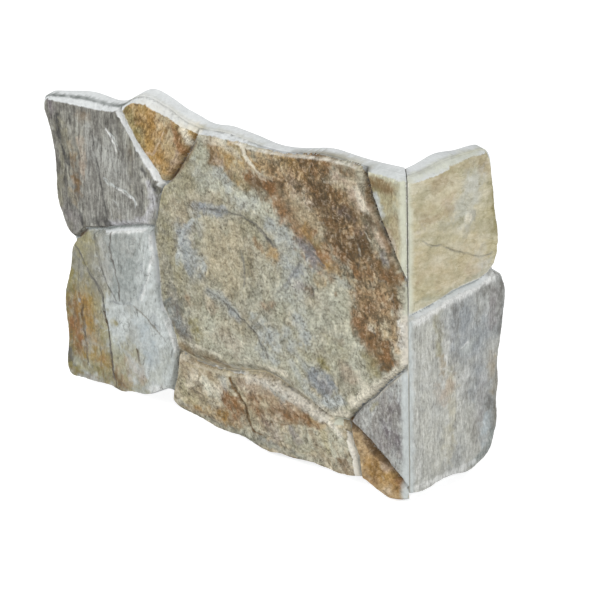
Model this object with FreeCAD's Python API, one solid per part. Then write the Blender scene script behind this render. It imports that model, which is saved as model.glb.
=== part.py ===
# Stone-effect cladding corner piece for the outside corner of a wall.
#
# Two relief slabs, a long one and a short one, are mitred at 45 degrees and glued
# along the outer corner. Each slab was pressed in one piece: a plate with a wavy,
# interlocking outline, and on it the faces of several split stones with sunk joints
# between them. The back has shallow keying grooves for the wall adhesive.
#
# Frame: the Z axis is the inner arris, which lies on the corner of the wall. The
# long slab runs to -X with its back on y = 0. The short slab runs to +Y with its
# back on x = 0. z = 0 is the lowest point of the wavy lower edge.
#
# Outlines are given as (a, z): a is the distance from the outer corner along the
# slab, z the height. Both slabs use the same two directions.

import FreeCAD, Part
import math
import os

V = FreeCAD.Vector
os.makedirs("parts", exist_ok=True)

# Driving dimensions, in millimetres
long_leg = 484.0          # outer corner to the far end of the long slab's stones
short_leg = 136.0         # outer corner to the far end of the short slab's stones
overall_height = 336.0    # lowest point of the lower edge to the top of the hump
plate_thickness = 10.0    # back to the floor of the joints
relief_height = 6.0       # floor of the joints to the highest stone
joint_floor = 1.0         # width of the flat bottom of a joint
bond_thickness = 1.0      # adhesive in the mitre
bond_recess = 1.6         # adhesive kept back from the worn outer arris
bond_end_gap = 3.0        # adhesive kept back from the upper and lower edges
corner_wear_width = 10.5  # worn bevel beside the outer arris
corner_wear_drop = 2.5    # how far that bevel falls at the mitre
key_depth = 1.2           # keying grooves in the back
key_width = 11.0
key_pitch = 20.0
key_flank = 1.0           # how far a groove's side slopes in
key_border = 14.0         # plain border round the grooves
crack_depth = 1.6         # open cleft cracks in the stone faces
crack_width = 3.0
crack_end_share = 0.35    # how much of its width and depth a crack keeps at its ends

# The rim of a slab falls from the stone faces to the rear outline in three steps,
# given as shares of the way from the rear outline to the face outline
ledge_share = 0.30        # drafted side of the plate
rim_share = 0.42          # plus the narrow ledge at the floor of the joints

# Sizes at which the outlines below were drawn. A changed driving size stretches
# the outlines along that direction only.
drawn_long_leg = 484.0
drawn_short_leg = 136.0
drawn_height = 336.0
drawn_relief = 6.0

thickness = plate_thickness + relief_height
run_past = 10.0           # outlines run this far past the outer corner, then are mitred
sink = 1.0                # stones reach into the plate by this much, so that they fuse
edge_count = 8            # the outline curve is split into about this many edges

# Stations round each slab: along the top from the seam, down the free end, and back
# along the bottom to the seam. Each is (face a, face z, rear a, rear z).
long_top = [
    (-10, 306, -10, 314), (20, 306, 20, 314), (48, 308, 48, 314), (75, 310, 75, 315.5),
    (100, 309.5, 100, 317), (125, 307.5, 125, 313), (150, 305, 150, 309.5),
    (170, 304, 170, 309.5), (190, 303.5, 190, 312.5), (210, 305.5, 210, 315),
    (230, 307, 230, 316.5), (250, 306, 250, 315), (262, 304, 262, 317),
    (275, 304, 275, 320.5), (288, 308, 288, 323.5), (300, 315, 300, 328),
    (315, 318, 315, 333), (333, 322, 333, 336), (347, 322, 347, 332),
    (358, 318, 359, 325.5), (370, 310, 371, 319.5), (382, 308, 383, 317),
    (400, 306.5, 400, 318), (420, 306, 420, 319.5), (440, 306, 440, 318),
    (460, 305.5, 460, 315), (475, 305.5, 478, 312.5),
]
long_end = [
    (482, 304, 490, 308.5), (484, 299, 494, 300), (480, 287, 489, 287),
    (475, 269, 483, 269), (472, 250, 480, 250),
    (472.5, 222, 481, 222), (472, 200, 480, 199), (464, 182, 471, 181),
    (455, 170, 463, 168), (446, 165.5, 457, 160), (451, 158, 460, 152),
    (457, 140, 466, 138), (463, 120, 471, 119), (469.5, 102, 477, 102),
    (470, 67, 477.5, 67), (472, 37, 479, 37), (474, 19, 480, 17),
]
long_bottom = [
    (471, 11.5, 475, 9.5), (455, 10.5, 455, 8.5), (430, 11.5, 430, 9.5),
    (405, 13, 405, 11), (392, 11, 392, 9),
    (375, 15, 375, 13), (355, 17, 355, 15), (342, 22.5, 342, 20.5), (328, 30, 328, 28),
    (316, 32, 317, 29.5), (313.5, 26, 312.5, 23), (307, 19.5, 306, 17.5),
    (293, 16, 293, 14), (270, 13.5, 270, 11.5), (245, 9.5, 245, 7.5), (220, 10.5, 220, 8.5),
    (200, 8, 200, 6), (180, 4, 180, 2), (165, 6.5, 165, 4.5), (150, 6.5, 150, 4.5),
    (128, 9, 128, 7), (100, 9, 100, 7), (75, 10, 75, 8), (60, 12, 60, 10), (45, 8, 45, 6),
    (30, 3, 30, 1), (20, 2, 20, 0), (8, 5.5, 8, 3.5), (-10, 11, -10, 9),
]

short_top = [
    (-10, 306, -10, 312.5), (5, 304, 5, 312.5), (20, 303, 20, 313.5), (35, 303, 35, 315.5),
    (50, 304, 50, 318), (65, 307, 65, 317.5), (80, 309.5, 80, 315.5), (95, 309, 95, 315),
    (105, 308, 107, 314.5),
]
short_end = [
    (111, 305.5, 116, 312), (113.5, 301, 122, 306),
    (115, 293, 125, 295), (118, 277, 126.5, 277), (120.5, 260, 128, 260),
    (122, 247, 129.5, 247), (125, 230, 132, 230), (124.5, 217, 131.5, 216),
    (121, 204, 128.5, 204), (118, 196, 127, 196), (124, 189.5, 133, 191),
    (132, 183, 141, 186), (136, 175, 144, 174), (135.5, 154, 143, 154),
    (132, 137, 140, 136), (128.5, 118, 136, 118), (126, 104, 133.5, 104),
    (127, 82, 134, 82), (124.5, 66, 132, 66), (126, 50, 133, 49), (123, 34, 129, 32),
    (118, 23, 121.5, 20),
]
short_bottom = [
    (110, 15, 112, 12.5), (97, 10, 97, 8), (84, 7, 84, 5),
    (68, 10, 68, 8), (50, 12, 50, 10), (36, 11.5, 36, 9.5), (24, 10, 24, 8),
    (8, 12, 8, 10), (-10, 15, -10, 13),
]

# Joint lines. Each has its course, and for the stone on either side how far its
# bevel runs in from the joint: at the first point and at the last.
long_joints = {
    "slate_ochre": {
        "course": [(374, 345), (371, 312), (359, 295), (345, 279), (330, 265), (318, 254), (313, 247)],
        "slate": (5.0, 5.5), "ochre": (4.5, 4.0)},
    "ochre_boulder": {
        "course": [(313, 247), (303, 253), (291, 266), (281, 279), (271, 291), (263, 303), (258, 345)],
        "ochre": (3.5, 6.5), "boulder": (3.0, 3.0)},
    "slate_boulder": {
        "course": [(313, 247), (319, 237), (322, 225), (326, 212), (331, 200)],
        "slate": (8.0, 9.0), "boulder": (3.5, 3.5)},
    "slate_bluestone": {
        "course": [(495, 152), (462, 160), (446, 167), (432, 178), (415, 181), (400, 184),
                   (385, 189), (365, 194), (348, 198), (331, 200)],
        "slate": (3.0, 3.5), "bluestone": (4.0, 5.0)},
    "boulder_bluestone": {
        "course": [(331, 200), (330, 185), (327, 167), (326, 147), (327, 130), (323, 118),
                   (314, 106), (307, 92), (303, 77)],
        "boulder": (3.5, 3.5), "bluestone": (7.0, 5.0)},
    "bluestone_sill": {
        "course": [(303, 77), (305, 62), (309, 47), (315, 32), (320, -10)],
        "bluestone": (3.5, 3.5), "sill": (3.5, 3.5)},
    "boulder_sill_left": {
        "course": [(303, 77), (280, 73), (255, 73), (235, 74)],
        "boulder": (8.0, 9.5), "sill": (4.0, 4.3)},
    "boulder_sill_right": {
        "course": [(235, 74), (215, 77), (200, 81), (185, 84),
                   (168, 82), (150, 76), (130, 71), (112, 65), (96, 61), (75, 64)],
        "boulder": (9.5, 3.0), "sill": (4.3, 5.0)},
    "boulder_wedge": {
        "course": [(75, 64), (67, 75), (58, 85), (45, 96), (33, 109), (20, 121), (8, 131), (-10, 145)],
        "boulder": (4.0, 4.0), "wedge": (2.5, 2.5)},
    "sill_sliver": {
        "course": [(75, 64), (71, 46), (65, 34), (63, 24), (61, 10), (60, -10)],
        "sill": (7.0, 6.0), "sliver": (2.5, 2.5)},
    "sliver_wedge": {
        "course": [(75, 64), (60, 57), (45, 48), (30, 38), (15, 26), (5, 18), (-10, 6)],
        "sliver": (4.0, 4.0), "wedge": (2.5, 2.5)},
    "boulder_quoin": {
        "course": [(53, 345), (50, 314), (48, 302), (43, 287), (35, 270), (25, 251), (15, 233),
                   (7, 220), (-10, 194)],
        "boulder": (5.0, 4.0), "quoin": (2.5, 2.5)},
}
short_joints = {
    "khaki_granite": {
        "course": [(-10, 183), (5, 182), (20, 183), (40, 185), (60, 189), (80, 190), (100, 190),
                   (112, 193), (122, 199), (150, 212)],
        "khaki": (3.0, 3.0), "granite": (5.0, 5.0)},
}

# Stones: the joints and outside corners met on the way round, how far the face
# stands above the joint floor, and its rise per 100 mm along a and along z
long_stones = {
    "slate": {"round": ["-slate_ochre", (510, 345), "slate_bluestone", "-slate_boulder"],
              "proud": 5.3, "tilt": (-0.2, 0.2)},
    "ochre": {"round": ["slate_ochre", "ochre_boulder"],
              "proud": 6.0, "tilt": (0.4, -0.6)},
    "boulder": {"round": ["-ochre_boulder", "slate_boulder", "boulder_bluestone", "boulder_sill_left",
                          "boulder_sill_right", "boulder_wedge", "-boulder_quoin"],
                "proud": 5.8, "tilt": (0.1, -0.1)},
    "bluestone": {"round": ["-slate_bluestone", (510, -10), "-bluestone_sill", "-boulder_bluestone"],
                  "proud": 5.4, "tilt": (0.2, 0.1)},
    "sill": {"round": ["bluestone_sill", "-sill_sliver", "-boulder_sill_right", "-boulder_sill_left"],
             "proud": 5.6, "tilt": (0.0, 0.4)},
    "sliver": {"round": ["sill_sliver", "-sliver_wedge"],
               "proud": 5.2, "tilt": (0.6, 0.4)},
    "wedge": {"round": ["sliver_wedge", "-boulder_wedge"],
              "proud": 4.6, "tilt": (-0.4, 0.2)},
    "quoin": {"round": ["boulder_quoin", (-10, 345)],
              "proud": 5.0, "tilt": (-0.6, 0.0)},
}
short_stones = {
    "khaki": {"round": ["khaki_granite", (150, 345), (-10, 345)],
              "proud": 5.6, "tilt": (0.2, -0.2)},
    "granite": {"round": ["-khaki_granite", (-10, -20), (150, -20)],
                "proud": 5.4, "tilt": (-0.3, 0.2)},
}

# Open cracks in the stone faces
long_cracks = [
    [(434, 144), (421, 125), (413, 112), (410, 94), (405, 70), (403, 47), (402, 27), (397, 5)],
    [(415, 172), (413, 155), (409, 134), (400, 118), (389, 110)],
    [(229, 66), (222, 56), (213, 48), (208, 37), (203, 25), (195, 18)],
    [(262, 230), (240, 236), (215, 237), (195, 233), (180, 228), (170, 220), (162, 212)],
    [(228, 144), (215, 136), (203, 131), (192, 124), (185, 113), (177, 103)],
]
short_cracks = [
    [(18, 250), (33, 242), (47, 239), (58, 232), (72, 226), (85, 220), (97, 215), (116, 213)],
]


class Leg:
    """One slab: how its outline coordinates lie in its own flat frame."""

    def __init__(self, length, drawn_length, toward_left):
        self.stretch = length / drawn_length
        self.rise = overall_height / drawn_height
        self.side = -1.0 if toward_left else 1.0

    def point(self, a, z, depth):
        """A point of the flat slab: across, up, and out from the back."""
        return V(self.side * (a * self.stretch - thickness), z * self.rise, depth)


def outline_wire(leg, stations, share, depth):
    """The slab's outline, a share of the way from the rear to the face outline."""
    points = []
    for face_a, face_z, rear_a, rear_z in stations:
        a = rear_a + (face_a - rear_a) * share
        z = rear_z + (face_z - rear_z) * share
        points.append(leg.point(a, z, depth))
    steps = [0.0]
    for station, before in zip(stations[1:], stations):
        steps.append(steps[-1] + math.hypot(station[0] - before[0], station[1] - before[1]))
    curve = Part.BSplineCurve()
    curve.interpolate(Points=points, Parameters=steps)
    breaks = steps[:-1:len(steps) // int(edge_count)]
    edges = [curve.toShape(one, two) for one, two in zip(breaks, breaks[1:] + steps[-1:])]
    edges.append(Part.makeLine(points[-1], points[0]))
    return Part.Wire(edges)


def joined_round(joints, stone_name, way):
    """The corners of a stone's foot, each with its bevel width."""
    corners = []
    for item in way:
        if isinstance(item, tuple):
            corners.append((item[0], item[1], 0.0))
            continue
        joint = joints[item.lstrip("-")]
        course = joint["course"]
        first, last = joint[stone_name]
        part = []
        for number, (a, z) in enumerate(course):
            share = number / (len(course) - 1)
            part.append((a, z, first + (last - first) * share))
        if item.startswith("-"):
            part.reverse()
        corners.extend(part)
    tidy = []
    for corner in corners:
        if not tidy or math.hypot(corner[0] - tidy[-1][0], corner[1] - tidy[-1][1]) > 0.5:
            tidy.append(corner)
    if math.hypot(tidy[0][0] - tidy[-1][0], tidy[0][1] - tidy[-1][1]) < 0.5:
        tidy.pop()
    return tidy


def moved_in(points, widths):
    """A closed outline moved inwards by a width at each corner."""
    count = len(points)
    area = 0.0
    for one, two in zip(points, points[1:] + points[:1]):
        area += one[0] * two[1] - two[0] * one[1]
    turn = 1.0 if area > 0 else -1.0
    moved = []
    for number in range(count):
        before = points[number - 1]
        here = points[number]
        after = points[(number + 1) % count]
        in_length = math.hypot(here[0] - before[0], here[1] - before[1])
        out_length = math.hypot(after[0] - here[0], after[1] - here[1])
        in_normal = (-(here[1] - before[1]) / in_length * turn, (here[0] - before[0]) / in_length * turn)
        out_normal = (-(after[1] - here[1]) / out_length * turn, (after[0] - here[0]) / out_length * turn)
        middle = (in_normal[0] + out_normal[0], in_normal[1] + out_normal[1])
        size = max(math.hypot(middle[0], middle[1]), 0.6)
        reach = widths[number] * 2.0 / size ** 2
        moved.append((here[0] + middle[0] * reach, here[1] + middle[1] * reach))
    return moved


def stone(leg, joints, name, facts):
    """One stone: a foot on the joint floor, bevelled up to a slightly tilted face."""
    corners = joined_round(joints, name, facts["round"])
    across = [(a * leg.stretch, z * leg.rise) for a, z, width in corners]
    foot = moved_in(across, [joint_floor / 2] * len(across))
    face = moved_in(across, [joint_floor / 2 + width for a, z, width in corners])
    middle_a = sum(a for a, z in across) / len(across)
    middle_z = sum(z for a, z in across) / len(across)
    rise_a, rise_z = facts["tilt"]
    top = plate_thickness + facts["proud"] * relief_height / drawn_relief

    def wire(outline, height, slope_a, slope_z):
        points = []
        for a, z in outline:
            lift = height + slope_a * (a - middle_a) + slope_z * (z - middle_z)
            points.append(V(leg.side * (a - thickness), z, lift))
        return Part.makePolygon(points + points[:1])

    low = wire(foot, plate_thickness - sink, 0.0, 0.0)
    floor = wire(foot, plate_thickness, 0.0, 0.0)
    high = wire(face, top, rise_a / 100.0, rise_z / 100.0)
    return Part.makeLoft([low, floor, high], True, True)


def crack(leg, course):
    """A wedge that opens a crack: full width in the middle, closing at its ends."""
    sections = []
    count = len(course)
    points = [leg.point(a, z, 0.0) for a, z in course]
    for number, here in enumerate(points):
        before = points[max(number - 1, 0)]
        after = points[min(number + 1, count - 1)]
        along = (after - before).normalize()
        aside = V(-along.y, along.x, 0.0)
        swell = math.sin(math.pi * number / (count - 1))
        fullness = crack_end_share + (1.0 - crack_end_share) * swell
        bottom = thickness - crack_depth * fullness
        top = thickness + sink
        half = crack_width / 2 * fullness * (top - bottom) / crack_depth
        left = here + aside * half
        right = here - aside * half
        sections.append(Part.makePolygon([
            V(left.x, left.y, top), V(right.x, right.y, top), V(here.x, here.y, bottom),
            V(left.x, left.y, top)]))
    return Part.makeLoft(sections, True, True)


def mitre_block(side):
    """The half of space on one side of the bond in the mitre plane."""
    reach = long_leg + short_leg
    out = V(side, side, 0.0).normalize()
    along = V(1, -1, 0).normalize()
    near = out * (bond_thickness / 2)
    corners = [near - along * reach, near + along * reach,
               near + along * reach + out * reach, near - along * reach + out * reach]
    face = Part.Face(Part.makePolygon(corners + corners[:1]))
    block = face.extrude(V(0, 0, overall_height + 2 * run_past))
    block.translate(V(0, 0, -run_past))
    return block


def worn_corner(leg):
    """The wedge that is worn away beside the outer arris, the height of the slab."""
    start = leg.side * (corner_wear_width - thickness)
    past = leg.side * (-2 * run_past - thickness)
    slope = corner_wear_drop / (corner_wear_width - corner_wear_drop)
    fall = slope * (corner_wear_width + 2 * run_past)
    section = [V(start, 0, thickness), V(past, 0, thickness - fall),
               V(past, 0, thickness + sink), V(start, 0, thickness + sink)]
    face = Part.Face(Part.makePolygon(section + section[:1]))
    wedge = face.extrude(V(0, overall_height + 2 * run_past, 0))
    wedge.translate(V(0, -run_past, 0))
    return wedge


def key_grooves(leg, top, end, bottom):
    """Shallow grooves along the back, inside a plain border."""
    low = max(rear_z for face_a, face_z, rear_a, rear_z in bottom) * leg.rise
    high = min(rear_z for face_a, face_z, rear_a, rear_z in top) * leg.rise
    count = int((high - low - 2 * key_border - key_width) / key_pitch) + 1
    lowest = (low + high - (count - 1) * key_pitch) / 2
    grooves = []
    for number in range(count):
        middle = lowest + number * key_pitch
        beside = [rear_a * leg.stretch for face_a, face_z, rear_a, rear_z in end
                  if abs(rear_z * leg.rise - middle) < key_pitch]
        if not beside:
            beside = [rear_a * leg.stretch for face_a, face_z, rear_a, rear_z in end]
        near = thickness + key_border
        far = min(beside) - key_border
        sections = []
        for depth in (-key_depth, key_depth):
            inset = key_flank * depth / key_depth
            corners = []
            for a, z in ((near + inset, middle - key_width / 2 + inset),
                         (far - inset, middle - key_width / 2 + inset),
                         (far - inset, middle + key_width / 2 - inset),
                         (near + inset, middle + key_width / 2 - inset)):
                corners.append(V(leg.side * (a - thickness), z, depth))
            sections.append(Part.makePolygon(corners + corners[:1]))
        grooves.append(Part.makeLoft(sections, True, True))
    return grooves


def flat_slab(leg, top, end, bottom, joints, stones, cracks):
    """A whole slab lying flat: plate, trimmed stones, cracks and keying grooves."""
    stations = top + end + bottom
    plate = Part.makeLoft([outline_wire(leg, stations, 0.0, 0.0),
                           outline_wire(leg, stations, ledge_share, plate_thickness)], True, True)
    rim = Part.makeLoft([outline_wire(leg, stations, rim_share, plate_thickness - sink),
                         outline_wire(leg, stations, rim_share, plate_thickness),
                         outline_wire(leg, stations, 1.0, thickness)], True, True)
    pads = [stone(leg, joints, name, facts).common(rim) for name, facts in stones.items()]
    slab = plate.fuse(pads)
    slab = slab.cut([crack(leg, course) for course in cracks])
    slab = slab.cut(worn_corner(leg))
    return slab.cut(key_grooves(leg, top, end, bottom))


long_side = Leg(long_leg, drawn_long_leg, True)
short_side = Leg(short_leg, drawn_short_leg, False)

long_slab = flat_slab(long_side, long_top, long_end, long_bottom,
                      long_joints, long_stones, long_cracks)
long_slab.Placement = FreeCAD.Placement(V(0, 0, 0), FreeCAD.Rotation(V(1, 0, 0), 90))
long_slab = long_slab.common(mitre_block(-1))

short_slab = flat_slab(short_side, short_top, short_end, short_bottom,
                       short_joints, short_stones, short_cracks)
short_slab.Placement = FreeCAD.Placement(V(0, 0, 0), FreeCAD.Rotation(V(1, 1, 1), 120))
short_slab = short_slab.common(mitre_block(1))


def bond_film():
    """The adhesive in the mitre, a thin plate that stops short of every edge."""
    along = V(1, -1, 0).normalize()
    out = V(1, 1, 0).normalize()
    outer = (thickness - corner_wear_drop) * math.sqrt(2) - bond_recess
    low = max(long_bottom[-1][1], short_bottom[-1][1]) * short_side.rise + bond_end_gap
    high = min(long_top[0][1], short_top[0][1]) * short_side.rise - bond_end_gap
    start = out * (-bond_thickness / 2)
    corners = [start + V(0, 0, low), start + along * outer + V(0, 0, low),
               start + along * outer + V(0, 0, high), start + V(0, 0, high)]
    return Part.Face(Part.makePolygon(corners + corners[:1])).extrude(out * bond_thickness)


nodes = {
    "long_slab": long_slab,
    "short_slab": short_slab,
    "mitre_adhesive": bond_film(),
}
for name, shape in nodes.items():
    if len(shape.Solids) == 1:
        shape = shape.Solids[0]
    print(name, "solids", len(shape.Solids), "valid", shape.isValid(), "volume", round(shape.Volume))
    shape.exportStep("parts/" + name + ".step")
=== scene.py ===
# %% [markdown]
# # A stone-effect cladding corner piece
#
# Two pressed relief slabs, mitred and glued along the outer corner of a wall. Their
# faces look like split stones of several kinds; the joints, the rims and the back show
# the pale body that they are pressed from. This lesson loads the imported solids,
# makes a fine surface over each slab, roughens it with Geometry Nodes and paints it
# with stains that are placed one by one and broken up by noise.
# Some strokes are painted shade in the joints and creases, and painted highlights on the crests of
# lit bevels.

# %% Load the imported solids
import math

import bmesh
import bpy
import numpy as np
from mathutils import Matrix, Vector, kdtree
from mathutils.bvhtree import BVHTree
from mathutils.geometry import delaunay_2d_cdt


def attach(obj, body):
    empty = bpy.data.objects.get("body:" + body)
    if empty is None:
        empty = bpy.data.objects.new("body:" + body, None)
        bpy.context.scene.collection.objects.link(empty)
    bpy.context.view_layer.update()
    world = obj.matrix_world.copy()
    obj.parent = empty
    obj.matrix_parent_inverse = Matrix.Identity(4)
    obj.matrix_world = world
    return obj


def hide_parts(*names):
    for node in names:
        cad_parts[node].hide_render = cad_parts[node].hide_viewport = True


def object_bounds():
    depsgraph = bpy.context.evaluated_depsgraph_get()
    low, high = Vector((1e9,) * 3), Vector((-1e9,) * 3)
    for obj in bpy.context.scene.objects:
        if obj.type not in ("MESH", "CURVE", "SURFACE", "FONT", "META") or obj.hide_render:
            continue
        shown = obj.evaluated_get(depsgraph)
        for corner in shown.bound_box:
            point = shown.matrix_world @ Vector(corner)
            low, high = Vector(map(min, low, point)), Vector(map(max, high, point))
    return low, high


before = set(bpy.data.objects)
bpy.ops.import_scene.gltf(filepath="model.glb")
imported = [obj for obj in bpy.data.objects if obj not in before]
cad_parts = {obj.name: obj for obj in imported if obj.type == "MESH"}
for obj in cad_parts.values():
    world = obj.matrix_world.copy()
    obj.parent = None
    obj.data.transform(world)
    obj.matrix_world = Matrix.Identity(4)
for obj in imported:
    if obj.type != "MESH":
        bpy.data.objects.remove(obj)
bpy.context.view_layer.update()
cad_box = [list(corner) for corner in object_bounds()]
print("solids", sorted(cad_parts), "box", cad_box)

# %% [markdown]
# ## One flat drawing for each slab
#
# A stone is easier to describe on a flat drawing than on a folded piece. On the
# drawing, `a` is the distance from the outer corner, `z` the height above the middle
# of the corner seam, and `depth` the distance out from the back. Everything is in
# millimetres there, and in metres on the part.

# %% The two drawings
SLAB = 16.0      # slab thickness
MIDDLE = 162.0   # height of the seam's middle above the lowest point
FLOOR = 10.0     # depth of the joint floors
STRIP = 10.7     # the faces of the worn strip end before this distance


class Leg:
    """A slab: its solid, and the way between the part and its flat drawing."""

    def __init__(self, node, toward_left, spacing, seed):
        self.node = node
        self.toward_left = toward_left
        self.spacing = spacing
        self.seed = seed
        self.out = Vector((0, -1, 0)) if toward_left else Vector((1, 0, 0))
        turn = 1 if toward_left else -1
        self.mitre = Vector((turn, turn, 0)).normalized()

    def flat(self, place):
        x, y, z = (place[:, k] * 1000 for k in range(3))
        if self.toward_left:
            return np.stack([SLAB - x, z - MIDDLE, -y], 1)
        return np.stack([y + SLAB, z - MIDDLE, x], 1)

    def part(self, flat):
        a, z, depth = flat[:, 0], flat[:, 1] + MIDDLE, flat[:, 2]
        if self.toward_left:
            return np.stack([SLAB - a, -depth, z], 1) / 1000
        return np.stack([depth, a - SLAB, z], 1) / 1000


long_leg = Leg("long_slab", toward_left=True, spacing=1.42, seed=3)
short_leg = Leg("short_slab", toward_left=False, spacing=1.15, seed=8)
LEGS = (long_leg, short_leg)
for leg in LEGS:
    print(leg.node, "faces", tuple(leg.out), "mitre faces", tuple(round(v, 3) for v in leg.mitre))

# %% [markdown]
# ## The fine surface
#
# The solids have the true outlines, bevels and joints, but their big triangles can't
# carry any roughness. So each slab gets a fine mesh with the same form: the sharp
# edges of the solid are kept as lines, points are scattered between them, and
# Blender's constrained triangulation joins both. A ray cast onto the solid gives the
# height of every point. Front, back and mitre are meshed apart and share the points
# on their common edges, so that the whole stays closed.

# %% Read the solid's edges and stones
MERGED = 2e-6        # corners nearer than this are one, in metres
SHARP = math.radians(8)   # flatter edges get no line
COARSE = 14.0        # step along edges that only the back sees
SQUARE_ON = 0.99     # how squarely the mitre's faces look across it
ON_PLANE = 0.001     # how far off the mitre's plane they may lie, in metres
TURNED_AWAY = -0.02  # how far the back's faces look away from the front
BACK_BELOW = 14.0    # a face of the back has a corner below this depth
LEVEL = 0.997        # how squarely a stone's level top faces out
TOP_FROM = 13.0      # all of a level top lies above this depth
CREST_FROM = 13.9    # above this depth a face counts as inside the crest
STRIP_FACING = 0.9   # how squarely the stones' faces on the worn strip face out
RAISED = FLOOR + 0.05   # a stone's faces reach above this depth
RAY_START = SLAB + 5.0   # depth from which rays are cast down


class Solid:
    """A CAD node's mesh, merged, with its faces sorted into front, back and mitre."""

    def __init__(self, leg):
        self.bm = bmesh.new()
        self.bm.from_mesh(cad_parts[leg.node].data)
        bmesh.ops.remove_doubles(self.bm, verts=self.bm.verts, dist=MERGED)
        self.bm.verts.ensure_lookup_table()
        self.bm.faces.ensure_lookup_table()
        self.flat = leg.flat(np.array([v.co for v in self.bm.verts]))
        self.side = []
        for face in self.bm.faces:
            off_mitre = abs(face.calc_center_median().dot(leg.mitre))
            if face.normal.dot(leg.mitre) > SQUARE_ON and off_mitre < ON_PLANE:
                self.side.append("mitre")
            elif (face.normal.dot(leg.out) < TURNED_AWAY
                  and self.depths(face).min() < BACK_BELOW):
                self.side.append("back")
            else:
                self.side.append("front")
        self.tree = BVHTree.FromBMesh(self.bm)
        self.leg = leg
        self.find_stones()

    def depths(self, face):
        return self.flat[[v.index for v in face.verts], 2]

    def find_stones(self):
        """Numbers the raised islands, and finds the faces and edges inside each crest."""
        count = len(self.bm.faces)
        self.island = [0] * count
        self.inner = [False] * count
        raised = []
        for face in self.bm.faces:
            front = self.side[face.index] == "front"
            deep, facing = self.depths(face), face.normal.dot(self.leg.out)
            raised.append(front and deep.max() > RAISED)
            top = facing > LEVEL and deep.min() > TOP_FROM
            aside = self.flat[[v.index for v in face.verts], 0].max() < STRIP
            self.inner[face.index] = raised[-1] and (
                top or deep.min() > CREST_FROM or (aside and facing > STRIP_FACING))
        number = 0
        for face in self.bm.faces:
            if not raised[face.index] or self.island[face.index]:
                continue
            number += 1
            queue = [face]
            self.island[face.index] = number
            while queue:
                here = queue.pop()
                for edge in here.edges:
                    for other in edge.link_faces:
                        if raised[other.index] and not self.island[other.index]:
                            self.island[other.index] = number
                            queue.append(other)
        self.crest = []
        for edge in self.bm.edges:
            one, two = (face.index for face in edge.link_faces)
            if self.inner[one] != self.inner[two] and self.island[one] == self.island[two]:
                self.crest.append(self.flat[[v.index for v in edge.verts]])

    def cast(self, a, z):
        """Depth of the front at a place of the drawing, and the face found there."""
        start = self.leg.part(np.array([[a, z, RAY_START]]))[0]
        face, distance = self.tree.ray_cast(Vector(start), -self.leg.out)[2:]
        if face is None or self.side[face] != "front":
            return None, None
        return RAY_START - distance * 1000, face


solids = {leg.node: Solid(leg) for leg in LEGS}
for node, solid in solids.items():
    print(node, "faces", len(solid.bm.faces), "islands", max(solid.island),
          "crest edges", len(solid.crest))


# %% Triangulate one side between its lines
JITTER = 0.18    # how far scattered places leave the honeycomb, as a share of its step
CLEAR = 0.55     # how far they keep from the solid's lines, as a share of the step
SAME = 1e-5      # places on the drawing nearer than this are one


def search_tree(places):
    """Finds the nearest of some places on the drawing, whatever their depth."""
    tree = kdtree.KDTree(len(places))
    for number, place in enumerate(places):
        tree.insert((place[0], place[1], 0), number)
    tree.balance()
    return tree


def triangulate(places, lines, scattered):
    """Joins fixed places, the lines between them and scattered places into triangles."""
    corners = [Vector(p) for p in places] + [Vector(p) for p in scattered]
    made = delaunay_2d_cdt(corners, lines, [], 1, SAME)
    back = [source[0] if source else None for source in made[3]]
    return made[0], made[2], back


def scatter(solid, points, seed):
    """Places on a jittered honeycomb over the front, clear of the solid's own lines."""
    leg = solid.leg
    near = search_tree(points)
    rng = np.random.default_rng(seed)
    low, high = solid.flat[:, :2].min(0), solid.flat[:, :2].max(0)
    step = leg.spacing
    found = []
    for row, z in enumerate(np.arange(low[1], high[1], step * math.sqrt(3) / 2)):
        across = np.arange(low[0] + (row % 2) * step / 2, high[0], step)
        jitter = rng.uniform(-JITTER, JITTER, (len(across), 2)) * step
        for a, (da, dz) in zip(across, jitter):
            if near.find((a + da, z + dz, 0))[2] < step * CLEAR:
                continue
            depth, face = solid.cast(a + da, z + dz)
            if face is not None:
                found.append((a + da, z + dz, depth))
    return found


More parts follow.
